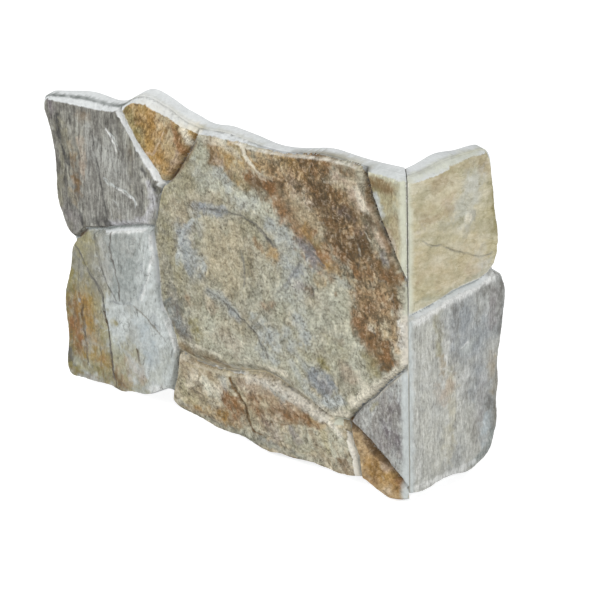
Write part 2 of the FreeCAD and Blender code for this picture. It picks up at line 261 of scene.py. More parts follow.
def fine_surface(solid):
    """Points on the drawing, triangles, and the side that each triangle belongs to."""
    leg = solid.leg
    points = [tuple(p) for p in solid.flat]
    lines = {"front": [], "back": [], "mitre": []}
    for edge in solid.bm.edges:
        sides = {solid.side[face.index] for face in edge.link_faces}
        if len(sides) == 1 and edge.calc_face_angle(0.0) < SHARP:
            continue
        ends = [v.index for v in edge.verts]
        start, stop = solid.flat[ends[0]], solid.flat[ends[1]]
        step = COARSE if sides == {"back"} else leg.spacing
        pieces = max(1, round(np.linalg.norm(stop - start) / step))
        chain = [ends[0]]
        for number in range(1, pieces):
            points.append(tuple(start + (stop - start) * number / pieces))
            chain.append(len(points) - 1)
        chain.append(ends[1])
        for side in sides:
            lines[side].extend(zip(chain, chain[1:]))
    triangles, owner, extra = [], [], 0
    for side, pairs in lines.items():
        used = sorted({end for pair in pairs for end in pair})
        order = {number: place for place, number in enumerate(used)}
        flat = np.array([points[number] for number in used])
        if side == "mitre":
            drawn = np.stack([flat[:, 2] * math.sqrt(2), flat[:, 1]], 1)
        else:
            drawn = flat[:, :2]
        scattered = scatter(solid, drawn, leg.seed) if side == "front" else []
        first = len(points)
        points.extend(scattered)
        corners, faces, source = triangulate(
            drawn, [(order[one], order[two]) for one, two in pairs], [p[:2] for p in scattered])
        number_of = []
        for corner, origin in zip(corners, source):
            if origin is None:
                depth = solid.cast(corner[0], corner[1])[0] or FLOOR
                points.append((corner[0], corner[1], depth))
                number_of.append(len(points) - 1)
                extra += 1
            elif origin < len(used):
                number_of.append(used[origin])
            else:
                number_of.append(first + origin - len(used))
        triangles.extend([number_of[k] for k in face] for face in faces)
        owner.extend([side] * len(faces))
    points, triangles, owner = np.array(points), np.array(triangles), np.array(owner)
    place = leg.part(points)
    corner = place[triangles]
    normal = np.cross(corner[:, 1] - corner[:, 0], corner[:, 2] - corner[:, 0])
    for side, out in (("front", leg.out), ("back", -leg.out), ("mitre", leg.mitre)):
        mine = owner == side
        if (normal[mine] @ np.array(out)).sum() < 0:
            triangles[mine] = triangles[mine][:, ::-1]
    print(leg.node, "triangles", len(triangles), "crossings", extra)
    return points, triangles, owner


surfaces = {node: fine_surface(solid) for node, solid in solids.items()}

# %% Count open edges
for node, (points, triangles, owner) in surfaces.items():
    edges = np.concatenate([triangles[:, [k, (k + 1) % 3]] for k in range(3)])
    uses = np.unique(np.sort(edges, 1), axis=0, return_counts=True)[1]
    print(node, "open edges", int((uses != 2).sum()))

# %% [markdown]
# ## Which stone is where
#
# Each slab shows several stones. A spot inside each one, read off the drawing, names
# its island on the solid. Every point then learns its stone and how far inside the
# level top it lies, in millimetres: above zero on the top, below zero on the bevels.

# %% Stones and their bedding
# the slab, a spot on its drawing, the turn of the bedding in degrees, and how long the
# streaks are drawn
STONES = {
    "slate": ("long_slab", (430, 90), 3, 7.0),
    "ochre": ("long_slab", (320, 130), 30, 1.8),
    "boulder": ("long_slab", (200, 20), -8, 1.3),
    "bluestone": ("long_slab", (380, -60), 8, 3.0),
    "sill": ("long_slab", (160, -120), -60, 1.4),
    "sliver": ("long_slab", (45, -130), 50, 2.2),
    "wedge": ("long_slab", (30, -80), 2, 3.0),
    "quoin": ("long_slab", (20, 120), 4, 3.0),
    "khaki": ("short_slab", (60, 80), 80, 3.0),
    "granite": ("short_slab", (60, -60), 3, 4.6),
}
NUMBER = {name: number + 1 for number, name in enumerate(STONES)}
CREST_STEP = 0.7     # distance between the places that stand for a crest
FAR_OUT = -20.0      # how far inside a point of the bare body counts


def look_up(leg):
    """Every point's stone (0 on the body), how far inside the top it lies and whether it is
    in front, and every triangle's stone."""
    solid = solids[leg.node]
    points, triangles, owner = surfaces[leg.node]
    named = {}
    for name, (node, spot, turn, stretch) in STONES.items():
        if node == leg.node:
            named[solid.island[solid.cast(*spot)[1]]] = NUMBER[name]
    crest = []
    for one, two in solid.crest:
        steps = max(2, int(np.linalg.norm(two - one) / CREST_STEP))
        crest += [one + (two - one) * share for share in np.linspace(0, 1, steps)]
    near = search_tree(crest)
    stone = np.zeros(len(points), int)
    inside = np.full(len(points), FAR_OUT)
    front = np.zeros(len(points), bool)
    front[triangles[owner == "front"].ravel()] = True
    place = leg.part(points)
    for number in np.flatnonzero(front):
        face = solid.tree.find_nearest(Vector(place[number]))[2]
        stone[number] = named.get(solid.island[face], 0)
        distance = near.find((points[number][0], points[number][1], 0))[2]
        inside[number] = distance if solid.inner[face] else -distance
    facing = np.zeros(len(triangles), int)
    middle = place[triangles].mean(1)
    for number in np.flatnonzero(owner == "front"):
        face = solid.tree.find_nearest(Vector(middle[number]))[2]
        facing[number] = named.get(solid.island[face], 0)
    return stone, inside, front, facing


looked_up = {leg.node: look_up(leg) for leg in LEGS}
for node, (stone, inside, front, facing) in looked_up.items():
    counts = np.bincount(facing, minlength=len(STONES) + 1)
    print(node, {name: int(counts[number]) for name, number in NUMBER.items() if counts[number]})

# %% [markdown]
# ## Pigments and stains
#
# The colours of such a slab are printed and glazed onto the pressed relief, so they
# lie in patches that run into each other. They are made as on paper: each stone has a
# ground colour and a few mottles, then stains are laid on it as strokes along paths of
# a few spots, placed on the drawing. Noise bends the strokes' outlines, so that
# they look like weathering and not like brush marks.
# Some strokes along bevels, crests and joints are painted highlights and painted shade.

# %% Pigments
PIGMENTS = {
    "body": "#d6d9d9", "chalk": "#e6e8ea", "cream": "#dcd6c4", "beige": "#bfb69b",
    "sand": "#b3a88c", "tan": "#9f9074", "ochre": "#ab8a4e", "amber": "#9c7a42", "rust": "#8d6840",
    "brick": "#855f38", "umber": "#6f5532", "bark": "#4f3d25", "olive": "#7e764b",
    "moss": "#989375", "khaki": "#b6ae8d", "sage": "#a2a391", "ash": "#8c8b82", "slate": "#83817a",
    "lead": "#676560", "coal": "#4a4946", "plum": "#645d60", "mauve": "#8e8889", "rose": "#b09d8a",
    "flesh": "#d0bba6", "silver": "#aeb3b0", "mist": "#c3c9c8", "steel": "#93989b",
    "blue": "#a9b2b5", "lilac": "#cfcfd6", "granite": "#a5a6a1", "dove": "#bdbdb4",
    # the next line's first two greys are painted shade in the joints and the rim's crease, and grey
    # stains where they lie on stones
    "grout": "#6b706d", "shade": "#8d9390", "peat": "#5f5944", "pearl": "#e9eae8",
    "linen": "#c9cbb9", "shell": "#d3cdc0", "gold": "#927b45", "ivory": "#e9e5d9",
    "clay": "#a3a08b", "fawn": "#b39a74", "heather": "#989690",
}


def linear(code):
    """A colour written as on a web page, in the values that the renderer works with."""
    shares = np.array([int(code[k:k + 2], 16) / 255 for k in (1, 3, 5)])
    return np.where(shares < 0.04045, shares / 12.92, ((shares + 0.055) / 1.055) ** 2.4)


PIGMENT = {name: linear(code) for name, code in PIGMENTS.items()}
print("pigments", len(PIGMENT))


# %% Noise on the drawing
ROWS, COLUMNS = 67, 71    # size of the random table; primes, so that repeats don't line up


def noise(a, z, size, seed):
    """Smooth noise from -1 to 1, with lumps of about the given size in millimetres."""
    table = np.random.default_rng(seed).uniform(-1, 1, (ROWS, COLUMNS))
    u, v = a / size + seed * 0.37, z / size + seed * 0.71
    i, j = np.floor(u).astype(int), np.floor(v).astype(int)
    f, g = u - i, v - j
    f, g = f * f * (3 - 2 * f), g * g * (3 - 2 * g)

    def corner(di, dj):
        return table[(i + di) % ROWS, (j + dj) % COLUMNS]

    low = corner(0, 0) * (1 - f) + corner(1, 0) * f
    high = corner(0, 1) * (1 - f) + corner(1, 1) * f
    return low * (1 - g) + high * g


def cloud(a, z, size, seed):
    """Three sizes of noise in one, about -1 to 1."""
    return (noise(a, z, size, seed) + 0.55 * noise(a, z, size * 0.47, seed + 1)
            + 0.3 * noise(a, z, size * 0.21, seed + 2)) / 1.35


def ramp(value, low, high):
    """0 below low, 1 above high, and a smooth way between."""
    share = np.clip((value - low) / (high - low), 0, 1)
    return share * share * (3 - 2 * share)


def to_stroke(a, z, path):
    """Distance of every place to a path, whose spots are written a, z, a, z ..."""
    nearest = np.full(len(a), 1e6)
    spots = list(zip(path[::2], path[1::2]))
    for (a1, z1), (a2, z2) in zip(spots, spots[1:] or spots):
        along = (a2 - a1) ** 2 + (z2 - z1) ** 2 or 1.0
        share = np.clip(((a - a1) * (a2 - a1) + (z - z1) * (z2 - z1)) / along, 0, 1)
        off_a, off_z = a - a1 - share * (a2 - a1), z - z1 - share * (z2 - z1)
        nearest = np.minimum(nearest, np.hypot(off_a, off_z))
    return nearest


# %% [markdown]
# Each stone's ground: the colour it starts from, then mottles as pigment, size of the
# lumps and share. The lumps are drawn out along the stone's bedding.

# %% Grounds
GROUNDS = {
    "slate": ("slate", [("ash", 26, 0.5), ("lead", 8, 0.6), ("moss", 34, 0.25), ("granite", 7, 0.5),
        ("coal", 5, 0.45), ("dove", 5, 0.35)]),
    "ochre": ("ochre", [("sand", 22, 0.5), ("rust", 13, 0.3), ("beige", 7, 0.45),
        ("olive", 15, 0.35), ("umber", 5, 0.35)]),
    "boulder": ("clay", [("sage", 40, 0.45), ("tan", 16, 0.45), ("cream", 8, 0.25),
        ("peat", 6, 0.35), ("silver", 14, 0.2)]),
    "bluestone": ("silver", [("granite", 36, 0.5), ("mist", 20, 0.4), ("ash", 12, 0.3)]),
    "sill": ("sand", [("rose", 22, 0.4), ("tan", 11, 0.5), ("cream", 8, 0.5), ("peat", 6, 0.35)]),
    "sliver": ("fawn", [("ochre", 16, 0.4), ("rust", 8, 0.45), ("cream", 7, 0.35)]),
    "wedge": ("heather", [("granite", 12, 0.4), ("plum", 6, 0.35), ("mist", 6, 0.4)]),
    "quoin": ("khaki", [("beige", 14, 0.4), ("olive", 8, 0.35)]),
    "khaki": ("khaki", [("beige", 34, 0.45), ("sand", 15, 0.35), ("sage", 11, 0.3),
        ("cream", 8, 0.35)]),
    "granite": ("granite", [("dove", 26, 0.5), ("ash", 10, 0.25), ("pearl", 6, 0.3),
        ("steel", 16, 0.3)]),
}
print("grounds", len(GROUNDS))

# %% [markdown]
# Broad washes come next: they set where a stone is brown, olive or grey, before the
# stains give it detail. A wash or a stain is its pigment, half its width, how strong it
# is, and then the spots of its path on the drawing, each as a and z.

# %% Washes
WASHES = {}
WASHES["slate"] = [
    ("lead", 9, 0.5, 474, 140, 468, 70, 460, 30), ("lead", 7, 0.35, 400, 140, 410, 90, 408, 30),
    ("granite", 12, 0.5, 385, 110, 370, 60, 350, 50), ("ash", 8, 0.4, 440, 110, 440, 40),
    ("moss", 10, 0.3, 467, 120, 462, 50), ("dove", 8, 0.55, 338, 86, 332, 60, 334, 38),
    ("slate", 8, 0.5, 360, 110, 352, 70, 346, 50), ("lead", 8, 0.4, 456, 20, 452, 8),
    ("lead", 6, 0.6, 477, 112, 473, 70, 465, 36), ("slate", 20, 0.3, 420, 130, 390, 80, 380, 50),
]
WASHES["ochre"] = [
    ("olive", 8, 0.35, 352, 146, 336, 120), ("rust", 8, 0.45, 296, 150, 284, 130),
    ("rust", 4, 0.3, 300, 104, 290, 116), ("fawn", 7, 0.5, 330, 150, 310, 150),
]
WASHES["boulder"] = [
    ("moss", 14, 0.45, 318, 66, 314, 10, 308, -50, 296, -76),
    ("moss", 15, 0.4, 310, 84, 284, 100, 262, 118), ("ash", 9, 0.5, 316, 50, 312, 0, 306, -40),
    ("sage", 10, 0.4, 260, 118, 256, 96), ("linen", 7, 0.5, 240, 98, 200, 94, 160, 90),
    ("beige", 12, 0.5, 252, 50, 214, 50, 214, 12, 248, 14),
    ("linen", 22, 0.3, 150, 10, 112, -30, 108, -50), ("linen", 16, 0.35, 90, 36, 72, -20, 60, -50),
    ("linen", 16, 0.35, 270, -50, 200, -62, 130, -62), ("tan", 20, 0.25, 240, 30, 210, 40),
    ("silver", 14, 0.35, 160, 70, 140, 40, 140, 10), ("steel", 11, 0.5, 288, 42, 280, 24, 274, 4),
    ("umber", 6, 0.3, 300, -80, 236, -84), ("plum", 9, 0.45, 305, -34, 296, -58),
    ("ochre", 10, 0.65, 240, 136, 218, 128, 206, 118), ("umber", 5, 0.6, 244, 140, 240, 122),
    ("umber", 5, 0.6, 190, 108, 176, 106, 158, 106), ("fawn", 9, 0.6, 206, 136, 160, 130),
    ("amber", 6, 0.5, 180, 130, 164, 128), ("umber", 25, 0.74, 136, 138, 112, 128, 84, 104, 64, 76),
    ("tan", 13, 0.6, 150, 118, 128, 96, 104, 70), ("rust", 13, 0.6, 160, 108, 138, 84, 108, 58),
    ("brick", 11, 0.35, 146, 98, 122, 72, 98, 48), ("brick", 15, 0.35, 120, 132, 96, 112, 78, 84),
    ("bark", 12, 0.45, 120, 126, 92, 104, 74, 76), ("umber", 9, 0.55, 70, 66, 46, 52, 24, 54),
    ("umber", 9, 0.5, 56, 26, 50, -4), ("fawn", 10, 0.5, 40, 24, 24, 10),
    ("umber", 13, 0.6, 42, -6, 26, -24), ("sand", 8, 0.8, 46, 10, 26, 4),
    ("fawn", 7, 0.5, 60, 40, 28, 36), ("olive", 7, 0.4, 48, -30, 42, -40),
    ("sand", 4, 0.55, 76, 132, 62, 124, 50, 112),
]
WASHES["bluestone"] = [
    ("mist", 10, 0.6, 334, 26, 330, -20, 326, -70), ("shade", 23, 0.8, 398, 14, 372, 8, 378, -34),
    ("mist", 9, 0.4, 338, 6, 348, -30), ("mist", 24, 0.45, 352, -50, 338, -100, 330, -130),
    ("olive", 19, 0.85, 452, 0, 466, -60, 468, -142),
    ("moss", 20, 0.85, 436, 12, 428, -40, 430, -60), ("peat", 17, 0.3, 440, 6, 436, -50),
    ("olive", 15, 0.45, 440, 8, 430, -40), ("ash", 9, 0.5, 424, -8, 414, -40),
    ("ash", 8, 0.6, 408, 16, 404, -20), ("gold", 17, 0.65, 440, -60, 428, -116),
    ("brick", 9, 0.5, 460, -66, 460, -114), ("olive", 7, 0.5, 462, -44, 460, -58),
    ("moss", 15, 0.8, 446, -124, 384, -140), ("gold", 9, 0.55, 444, -116, 410, -122),
    ("amber", 8, 0.5, 446, -84, 428, -98), ("moss", 12, 0.6, 400, -104, 384, -130),
    ("ash", 8, 0.35, 420, -44, 420, -90),
]
WASHES["sill"] = [
    ("brick", 11, 0.55, 240, -116, 214, -136), ("rust", 8, 0.4, 190, -108, 130, -110),
    ("cream", 8, 0.55, 266, -100, 250, -116), ("cream", 8, 0.3, 160, -126, 120, -128),
    ("sand", 7, 0.35, 300, -134, 260, -142), ("linen", 15, 0.55, 120, -120, 90, -128),
    ("rust", 5, 0.45, 290, -138, 262, -140),
]
WASHES["sliver"] = [
    ("rust", 5, 0.4, 70, -104, 10, -144),
]
WASHES["wedge"] = [
    ("heather", 10, 0.4, 40, -100, 12, -124),
]
WASHES["quoin"] = [
    ("umber", 8, 0.6, 46, 140, 26, 136), ("olive", 8, 0.6, 42, 132, 30, 106, 24, 90),
    ("umber", 5, 0.25, 40, 122, 22, 84), ("tan", 7, 0.35, 24, 136, 18, 100),
    ("beige", 5, 0.4, 14, 84, 12, 70),
]
WASHES["khaki"] = [
    ("fawn", 18, 0.2, 20, 60, 60, 40, 90, 60), ("silver", 14, 0.35, 92, 130, 80, 100),
]
WASHES["granite"] = [
    ("steel", 16, 0.55, 64, 14, 80, -30, 130, -20), ("dove", 16, 0.5, 20, 0, 30, -60, 40, -130),
    ("lead", 10, 0.3, 120, 20, 126, -20), ("steel", 12, 0.35, 100, -60, 110, -100),
    ("dove", 14, 0.4, 70, -90, 90, -140), ("khaki", 8, 0.3, 62, -50, 54, -130),
    ("mauve", 7, 0.25, 100, -70, 96, -130),
]
print("washes", sum(map(len, WASHES.values())))

# %% [markdown]
# The stains of each stone, in the same form. The pale flesh strokes along the large stone's
# crest beside the quoin are painted highlights.

# %% Stains on the long slab's left half
STAINS_AND_HIGHLIGHTS = {}
STAINS_AND_HIGHLIGHTS["slate"] = [
    ("plum", 6, 0.85, 476, 141, 474, 131), ("coal", 4.5, 0.85, 467, 128, 464, 104),
    ("coal", 3, 0.8, 461, 98, 456, 84), ("lead", 4, 0.7, 460, 62, 460, 38),
    ("dove", 3, 0.6, 475, 122, 474, 116), ("umber", 5, 0.5, 446, 92, 442, 52),
    ("umber", 6, 0.6, 440, 62, 446, 64), ("rose", 4, 0.45, 431, 110, 428, 70),
    ("tan", 4, 0.45, 451, 52, 448, 40), ("granite", 8, 0.4, 421, 122, 414, 98),
    ("granite", 14, 0.5, 398, 98, 380, 86), ("granite", 8, 0.3, 375, 96, 366, 84),
    ("lead", 8, 0.35, 352, 92, 344, 74), ("coal", 4, 0.8, 440, 31, 438, 25),
    ("coal", 3, 0.7, 415, 32, 413, 27), ("coal", 2.5, 0.6, 403, 32, 401, 28),
    ("coal", 3.5, 0.4, 427, 73, 428, 68), ("bark", 4, 0.45, 357, 111, 352, 107),
    ("moss", 6, 0.25, 470, 62, 471, 40), ("mauve", 8, 0.3, 456, 26, 447, 14),
    ("lead", 5, 0.4, 468, 140, 420, 139), ("lead", 5, 0.15, 420, 139, 380, 142),
    ("umber", 5, 0.3, 430, 133, 416, 136), ("lead", 6, 0.35, 388, 136, 372, 133),
    ("lead", 6, 0.35, 360, 52, 350, 46), ("tan", 5, 0.35, 448, 104, 445, 96),
    ("lead", 6, 0.65, 472, 106, 471, 76), ("granite", 7, 0.35, 381, 50, 366, 46),
    ("lead", 6, 0.4, 430, 40, 424, 52),
]
STAINS_AND_HIGHLIGHTS["ochre"] = [
    ("amber", 7, 0.8, 326, 153, 322, 144), ("amber", 7, 0.8, 313, 116, 311, 103),
    ("olive", 7, 0.6, 357, 149, 346, 128), ("umber", 3, 0.6, 343, 148, 341, 142),
    ("ochre", 7, 0.6, 334, 128, 330, 116), ("brick", 5, 0.6, 292, 140, 286, 124),
    ("umber", 4, 0.6, 286, 141, 282, 136), ("sand", 5, 0.5, 303, 150, 296, 132),
    ("brick", 4, 0.35, 300, 97, 290, 112), ("rust", 4, 0.5, 292, 142, 286, 128),
    ("sand", 5, 0.6, 318, 96, 310, 90), ("tan", 6, 0.5, 306, 130, 300, 115),
    ("sand", 5, 0.6, 314, 150, 300, 151), ("moss", 5, 0.4, 340, 135, 336, 125),
]
STAINS_AND_HIGHLIGHTS["bluestone"] = [
    ("moss", 12, 0.7, 448, -2, 420, 2), ("ash", 9, 0.6, 456, -18, 440, -30),
    ("ash", 10, 0.4, 430, -10, 418, -34), ("granite", 7, 0.75, 408, 5, 404, -30),
    ("olive", 7, 0.65, 456, -46, 460, -54), ("gold", 8, 0.7, 440, -64, 438, -82),
    ("umber", 7, 0.5, 452, -72, 450, -92), ("brick", 9, 0.7, 458, -94, 452, -110),
    ("gold", 6, 0.8, 442, -84, 438, -92), ("moss", 8, 0.7, 424, -66, 414, -90),
    ("amber", 7, 0.6, 445, -60, 438, -98), ("olive", 8, 0.45, 426, -95, 414, -100),
    ("tan", 5, 0.5, 440, -102, 428, -99), ("dove", 3.5, 0.7, 446, -114, 438, -116),
    ("umber", 6, 0.5, 462, -122, 452, -126), ("lead", 5, 0.7, 470, -128, 466, -136),
    ("sage", 6, 0.6, 460, -134, 450, -138), ("gold", 7, 0.6, 444, -122, 414, -126),
    ("rust", 5, 0.35, 430, -128, 418, -124), ("olive", 6, 0.55, 440, -140, 412, -142),
    ("sage", 7, 0.6, 398, -100, 392, -112), ("mist", 6, 0.8, 402, -84, 396, -90),
    ("moss", 4, 0.7, 399, -80, 394, -76), ("moss", 8, 0.5, 399, -122, 388, -116),
    ("tan", 8, 0.6, 394, -136, 378, -140), ("umber", 6, 0.6, 398, -140, 388, -146),
    ("olive", 6, 0.4, 360, -134, 352, -132), ("moss", 8, 0.5, 374, -98, 364, -104),
    ("rose", 10, 0.35, 376, -120, 362, -126), ("mist", 8, 0.6, 385, -60, 378, -70),
    ("mist", 7, 0.5, 350, -36, 338, -10), ("silver", 8, 0.4, 340, -45, 334, -56),
    ("granite", 10, 0.4, 390, 8, 360, 14), ("pearl", 6, 0.4, 345, -140, 330, -134),
    ("sage", 9, 0.25, 335, -120, 322, -100), ("steel", 4, 0.5, 336, -60, 330, -66),
    ("blue", 10, 0.6, 356, -70, 340, -100),
]
print("stains so far", sum(len(rows) for rows in STAINS_AND_HIGHLIGHTS.values()))

# %% Stains on the large stone
STAINS_AND_HIGHLIGHTS["boulder"] = [
    ("sage", 9, 0.6, 268, 138, 250, 118), ("silver", 9, 0.35, 262, 110, 245, 104),
    ("tan", 6, 0.6, 240, 138, 222, 136), ("umber", 3, 0.75, 244, 141, 243, 122),
    ("rust", 5, 0.7, 236, 132, 226, 128), ("ochre", 8, 0.6, 224, 130, 205, 122),
    ("olive", 5, 0.4, 214, 138, 202, 132), ("beige", 7, 0.75, 210, 119, 194, 114),
    ("rose", 4, 0.7, 236, 124, 226, 121), ("umber", 4, 0.5, 222, 119, 210, 112),
    ("umber", 4, 0.5, 202, 110, 188, 107), ("brick", 7, 0.7, 190, 116, 164, 112),
    ("bark", 4, 0.6, 186, 112, 172, 110), ("umber", 4, 0.45, 200, 106, 182, 104),
    ("moss", 4, 0.5, 210, 112, 198, 108), ("sand", 8, 0.8, 172, 138, 146, 134),
    ("fawn", 6, 0.6, 180, 134, 164, 126), ("rust", 6, 0.3, 164, 128, 156, 124),
    ("brick", 6, 0.7, 170, 112, 154, 112), ("bark", 5, 0.5, 156, 112, 150, 110),
    ("ochre", 9, 0.5, 148, 140, 128, 130), ("umber", 5, 0.45, 134, 138, 112, 142),
    ("tan", 8, 0.5, 150, 104, 130, 100), ("rust", 5, 0.5, 156, 98, 148, 94),
    ("rose", 9, 0.45, 140, 120, 118, 112), ("umber", 6, 0.55, 112, 136, 96, 140),
    ("rust", 6, 0.5, 90, 144, 62, 142), ("bark", 3, 0.5, 84, 146, 78, 143),
    ("umber", 8, 0.75, 116, 120, 96, 118), ("bark", 5, 0.3, 104, 126, 98, 122),
    ("bark", 7, 0.65, 108, 110, 84, 112), ("umber", 7, 0.7, 88, 116, 68, 116),
    ("bark", 7, 0.55, 92, 104, 62, 104), ("plum", 5, 0.55, 84, 102, 66, 102),
    ("umber", 7, 0.6, 60, 112, 44, 102), ("bark", 4, 0.6, 50, 106, 42, 100),
    ("umber", 7, 0.75, 90, 98, 84, 74), ("bark", 4, 0.6, 88, 94, 87, 82),
    ("bark", 6, 0.5, 96, 78, 80, 76), ("umber", 10, 0.7, 74, 92, 60, 78),
    ("bark", 7, 0.9, 68, 85, 56, 78), ("umber", 6, 0.6, 56, 96, 46, 88),
    ("plum", 4, 0.5, 60, 92, 50, 94), ("umber", 7, 0.8, 70, 70, 60, 62),
    ("bark", 5, 0.6, 66, 66, 62, 62), ("brick", 6, 0.45, 88, 68, 78, 64),
    ("umber", 9, 0.6, 56, 72, 40, 58), ("bark", 5, 0.5, 50, 78, 44, 74),
    ("umber", 7, 0.65, 38, 64, 24, 54), ("rust", 5, 0.7, 30, 54, 14, 54),
    ("bark", 4, 0.5, 26, 56, 20, 50), ("rust", 5, 0.55, 58, 52, 44, 50),
    ("rust", 7, 0.65, 100, 62, 86, 52), ("tan", 9, 0.6, 130, 88, 104, 90),
    ("amber", 5, 0.45, 124, 78, 118, 74), ("olive", 6, 0.4, 112, 70, 104, 66),
    ("umber", 6, 0.65, 20, 50, 14, 30), ("bark", 3, 0.7, 18, 32, 16, 26),
    ("rust", 7, 0.45, 30, 42, 24, 32), ("rust", 8, 0.35, 56, 26, 30, 22),
    ("umber", 7, 0.45, 52, 24, 46, 8), ("rust", 8, 0.4, 60, 12, 52, 2),
    ("rust", 7, 0.45, 44, 20, 36, 6), ("brick", 6, 0.5, 62, 0, 56, -8),
    ("brick", 6, 0.55, 50, 2, 44, -8), ("rust", 5, 0.65, 16, 4, 12, -10),
    ("tan", 5, 0.5, 30, 8, 22, 2), ("umber", 8, 0.65, 40, -8, 26, -16),
    ("umber", 8, 0.6, 32, -18, 18, -22), ("rust", 6, 0.8, 24, -12, 18, -22),
    ("rust", 7, 0.45, 46, -18, 40, -28), ("umber", 4, 0.4, 30, -30, 24, -34),
    ("olive", 7, 0.55, 48, -30, 42, -40), ("beige", 4, 0.5, 46, 4, 24, 6),
    ("amber", 6, 0.5, 168, 47, 163, 45), ("brick", 4, 0.55, 188, 56, 183, 52),
    ("plum", 5, 0.35, 280, 50, 264, 46), ("steel", 8, 0.55, 292, 40, 280, 22),
    ("silver", 9, 0.65, 288, 22, 262, 12), ("shade", 6, 0.5, 286, 34, 278, 8),
    ("steel", 4, 0.65, 262, 70, 228, 72), ("silver", 6, 0.5, 270, 64, 262, 52),
    ("grout", 7, 0.4, 300, -22, 292, -40), ("plum", 8, 0.45, 304, -50, 288, -62),
    ("shade", 8, 0.6, 316, -42, 296, -56), ("olive", 6, 0.65, 275, -50, 270, -62),
    ("umber", 5, 0.4, 294, -76, 286, -80), ("steel", 5, 0.35, 250, -12, 224, -18),
    ("steel", 6, 0.5, 222, -24, 214, -30), ("silver", 9, 0.7, 186, -30, 166, -44),
    ("silver", 8, 0.6, 182, -56, 168, -62), ("silver", 7, 0.6, 164, 74, 158, 64),
    ("silver", 7, 0.55, 150, 70, 138, 60), ("mauve", 6, 0.55, 128, 62, 112, 50),
    ("grout", 3, 0.5, 134, 66, 118, 58), ("steel", 6, 0.5, 122, 52, 110, 44),
    ("silver", 7, 0.6, 150, 40, 138, 34), ("steel", 4, 0.5, 142, 34, 130, 40),
    ("mauve", 5, 0.4, 138, 22, 116, 20), ("umber", 3, 0.5, 124, 22, 118, 20),
    ("umber", 2.4, 0.75, 86, 23, 85, 21), ("silver", 7, 0.4, 84, 40, 78, 36),
    ("ochre", 5, 0.4, 112, 32, 104, 30), ("ochre", 6, 0.45, 92, 50, 84, 44),
    ("silver", 8, 0.65, 136, -14, 124, -28), ("silver", 6, 0.5, 150, -28, 142, -40),
    ("steel", 10, 0.75, 114, -64, 98, -68), ("grout", 6, 0.4, 106, -70, 98, -74),
    ("steel", 6, 0.6, 118, -64, 104, -76), ("grout", 4, 0.4, 126, -58, 118, -66),
    ("olive", 5, 0.65, 108, -48, 98, -50), ("moss", 5, 0.5, 125, -44, 118, -46),
    ("grout", 4, 0.6, 95, -91, 90, -93), ("silver", 5, 0.5, 80, -76, 100, -86),
    ("moss", 8, 0.45, 96, -24, 78, -34), ("rose", 7, 0.35, 80, -50, 68, -54),
    ("umber", 4, 0.25, 88, -22, 78, -22), ("cream", 6, 0.6, 60, -52, 52, -60),
    ("cream", 5, 0.8, 62, -74, 30, -48), ("cream", 4.5, 0.85, 30, -48, 8, -30),
    ("cream", 8, 0.75, 10, 20, 4, -24), ("chalk", 7, 0.5, 8, 10, 2, 0),
    # the flesh strokes here and on the next line are a painted highlight on the crest beside the
    # quoin
    ("rose", 6, 0.75, 82, 133, 66, 128), ("flesh", 5, 0.85, 56, 124, 50, 114),
    ("flesh", 3, 0.7, 74, 132, 62, 129), ("flesh", 5, 0.5, 36, 92, 26, 82),
    ("rose", 5, 0.6, 66, 126, 58, 118), ("mauve", 4, 0.5, 30, 76, 24, 70),
    ("rust", 4, 0.4, 180, -8, 168, -4), ("bark", 2, 0.4, 170, -12, 174, -12),
    ("rust", 4, 0.35, 285, -24, 280, -28), ("rose", 6, 0.4, 252, -26, 246, -28),
    ("rose", 10, 0.25, 240, -52, 226, -60), ("tan", 10, 0.35, 300, 60, 280, 66),
    ("moss", 7, 0.4, 322, 40, 312, 20), ("olive", 5, 0.3, 318, 50, 306, 34),
    ("olive", 5, 0.3, 298, 6, 294, -18), ("moss", 5, 0.35, 205, 36, 200, 20),
    ("mist", 8, 0.3, 208, 90, 190, 92), ("mist", 7, 0.35, 232, 110, 222, 104),
    ("sand", 16, 0.35, 240, 40, 215, 10), ("moss", 8, 0.3, 200, 66, 184, 60),
]
print("stains on the large stone", len(STAINS_AND_HIGHLIGHTS["boulder"]))

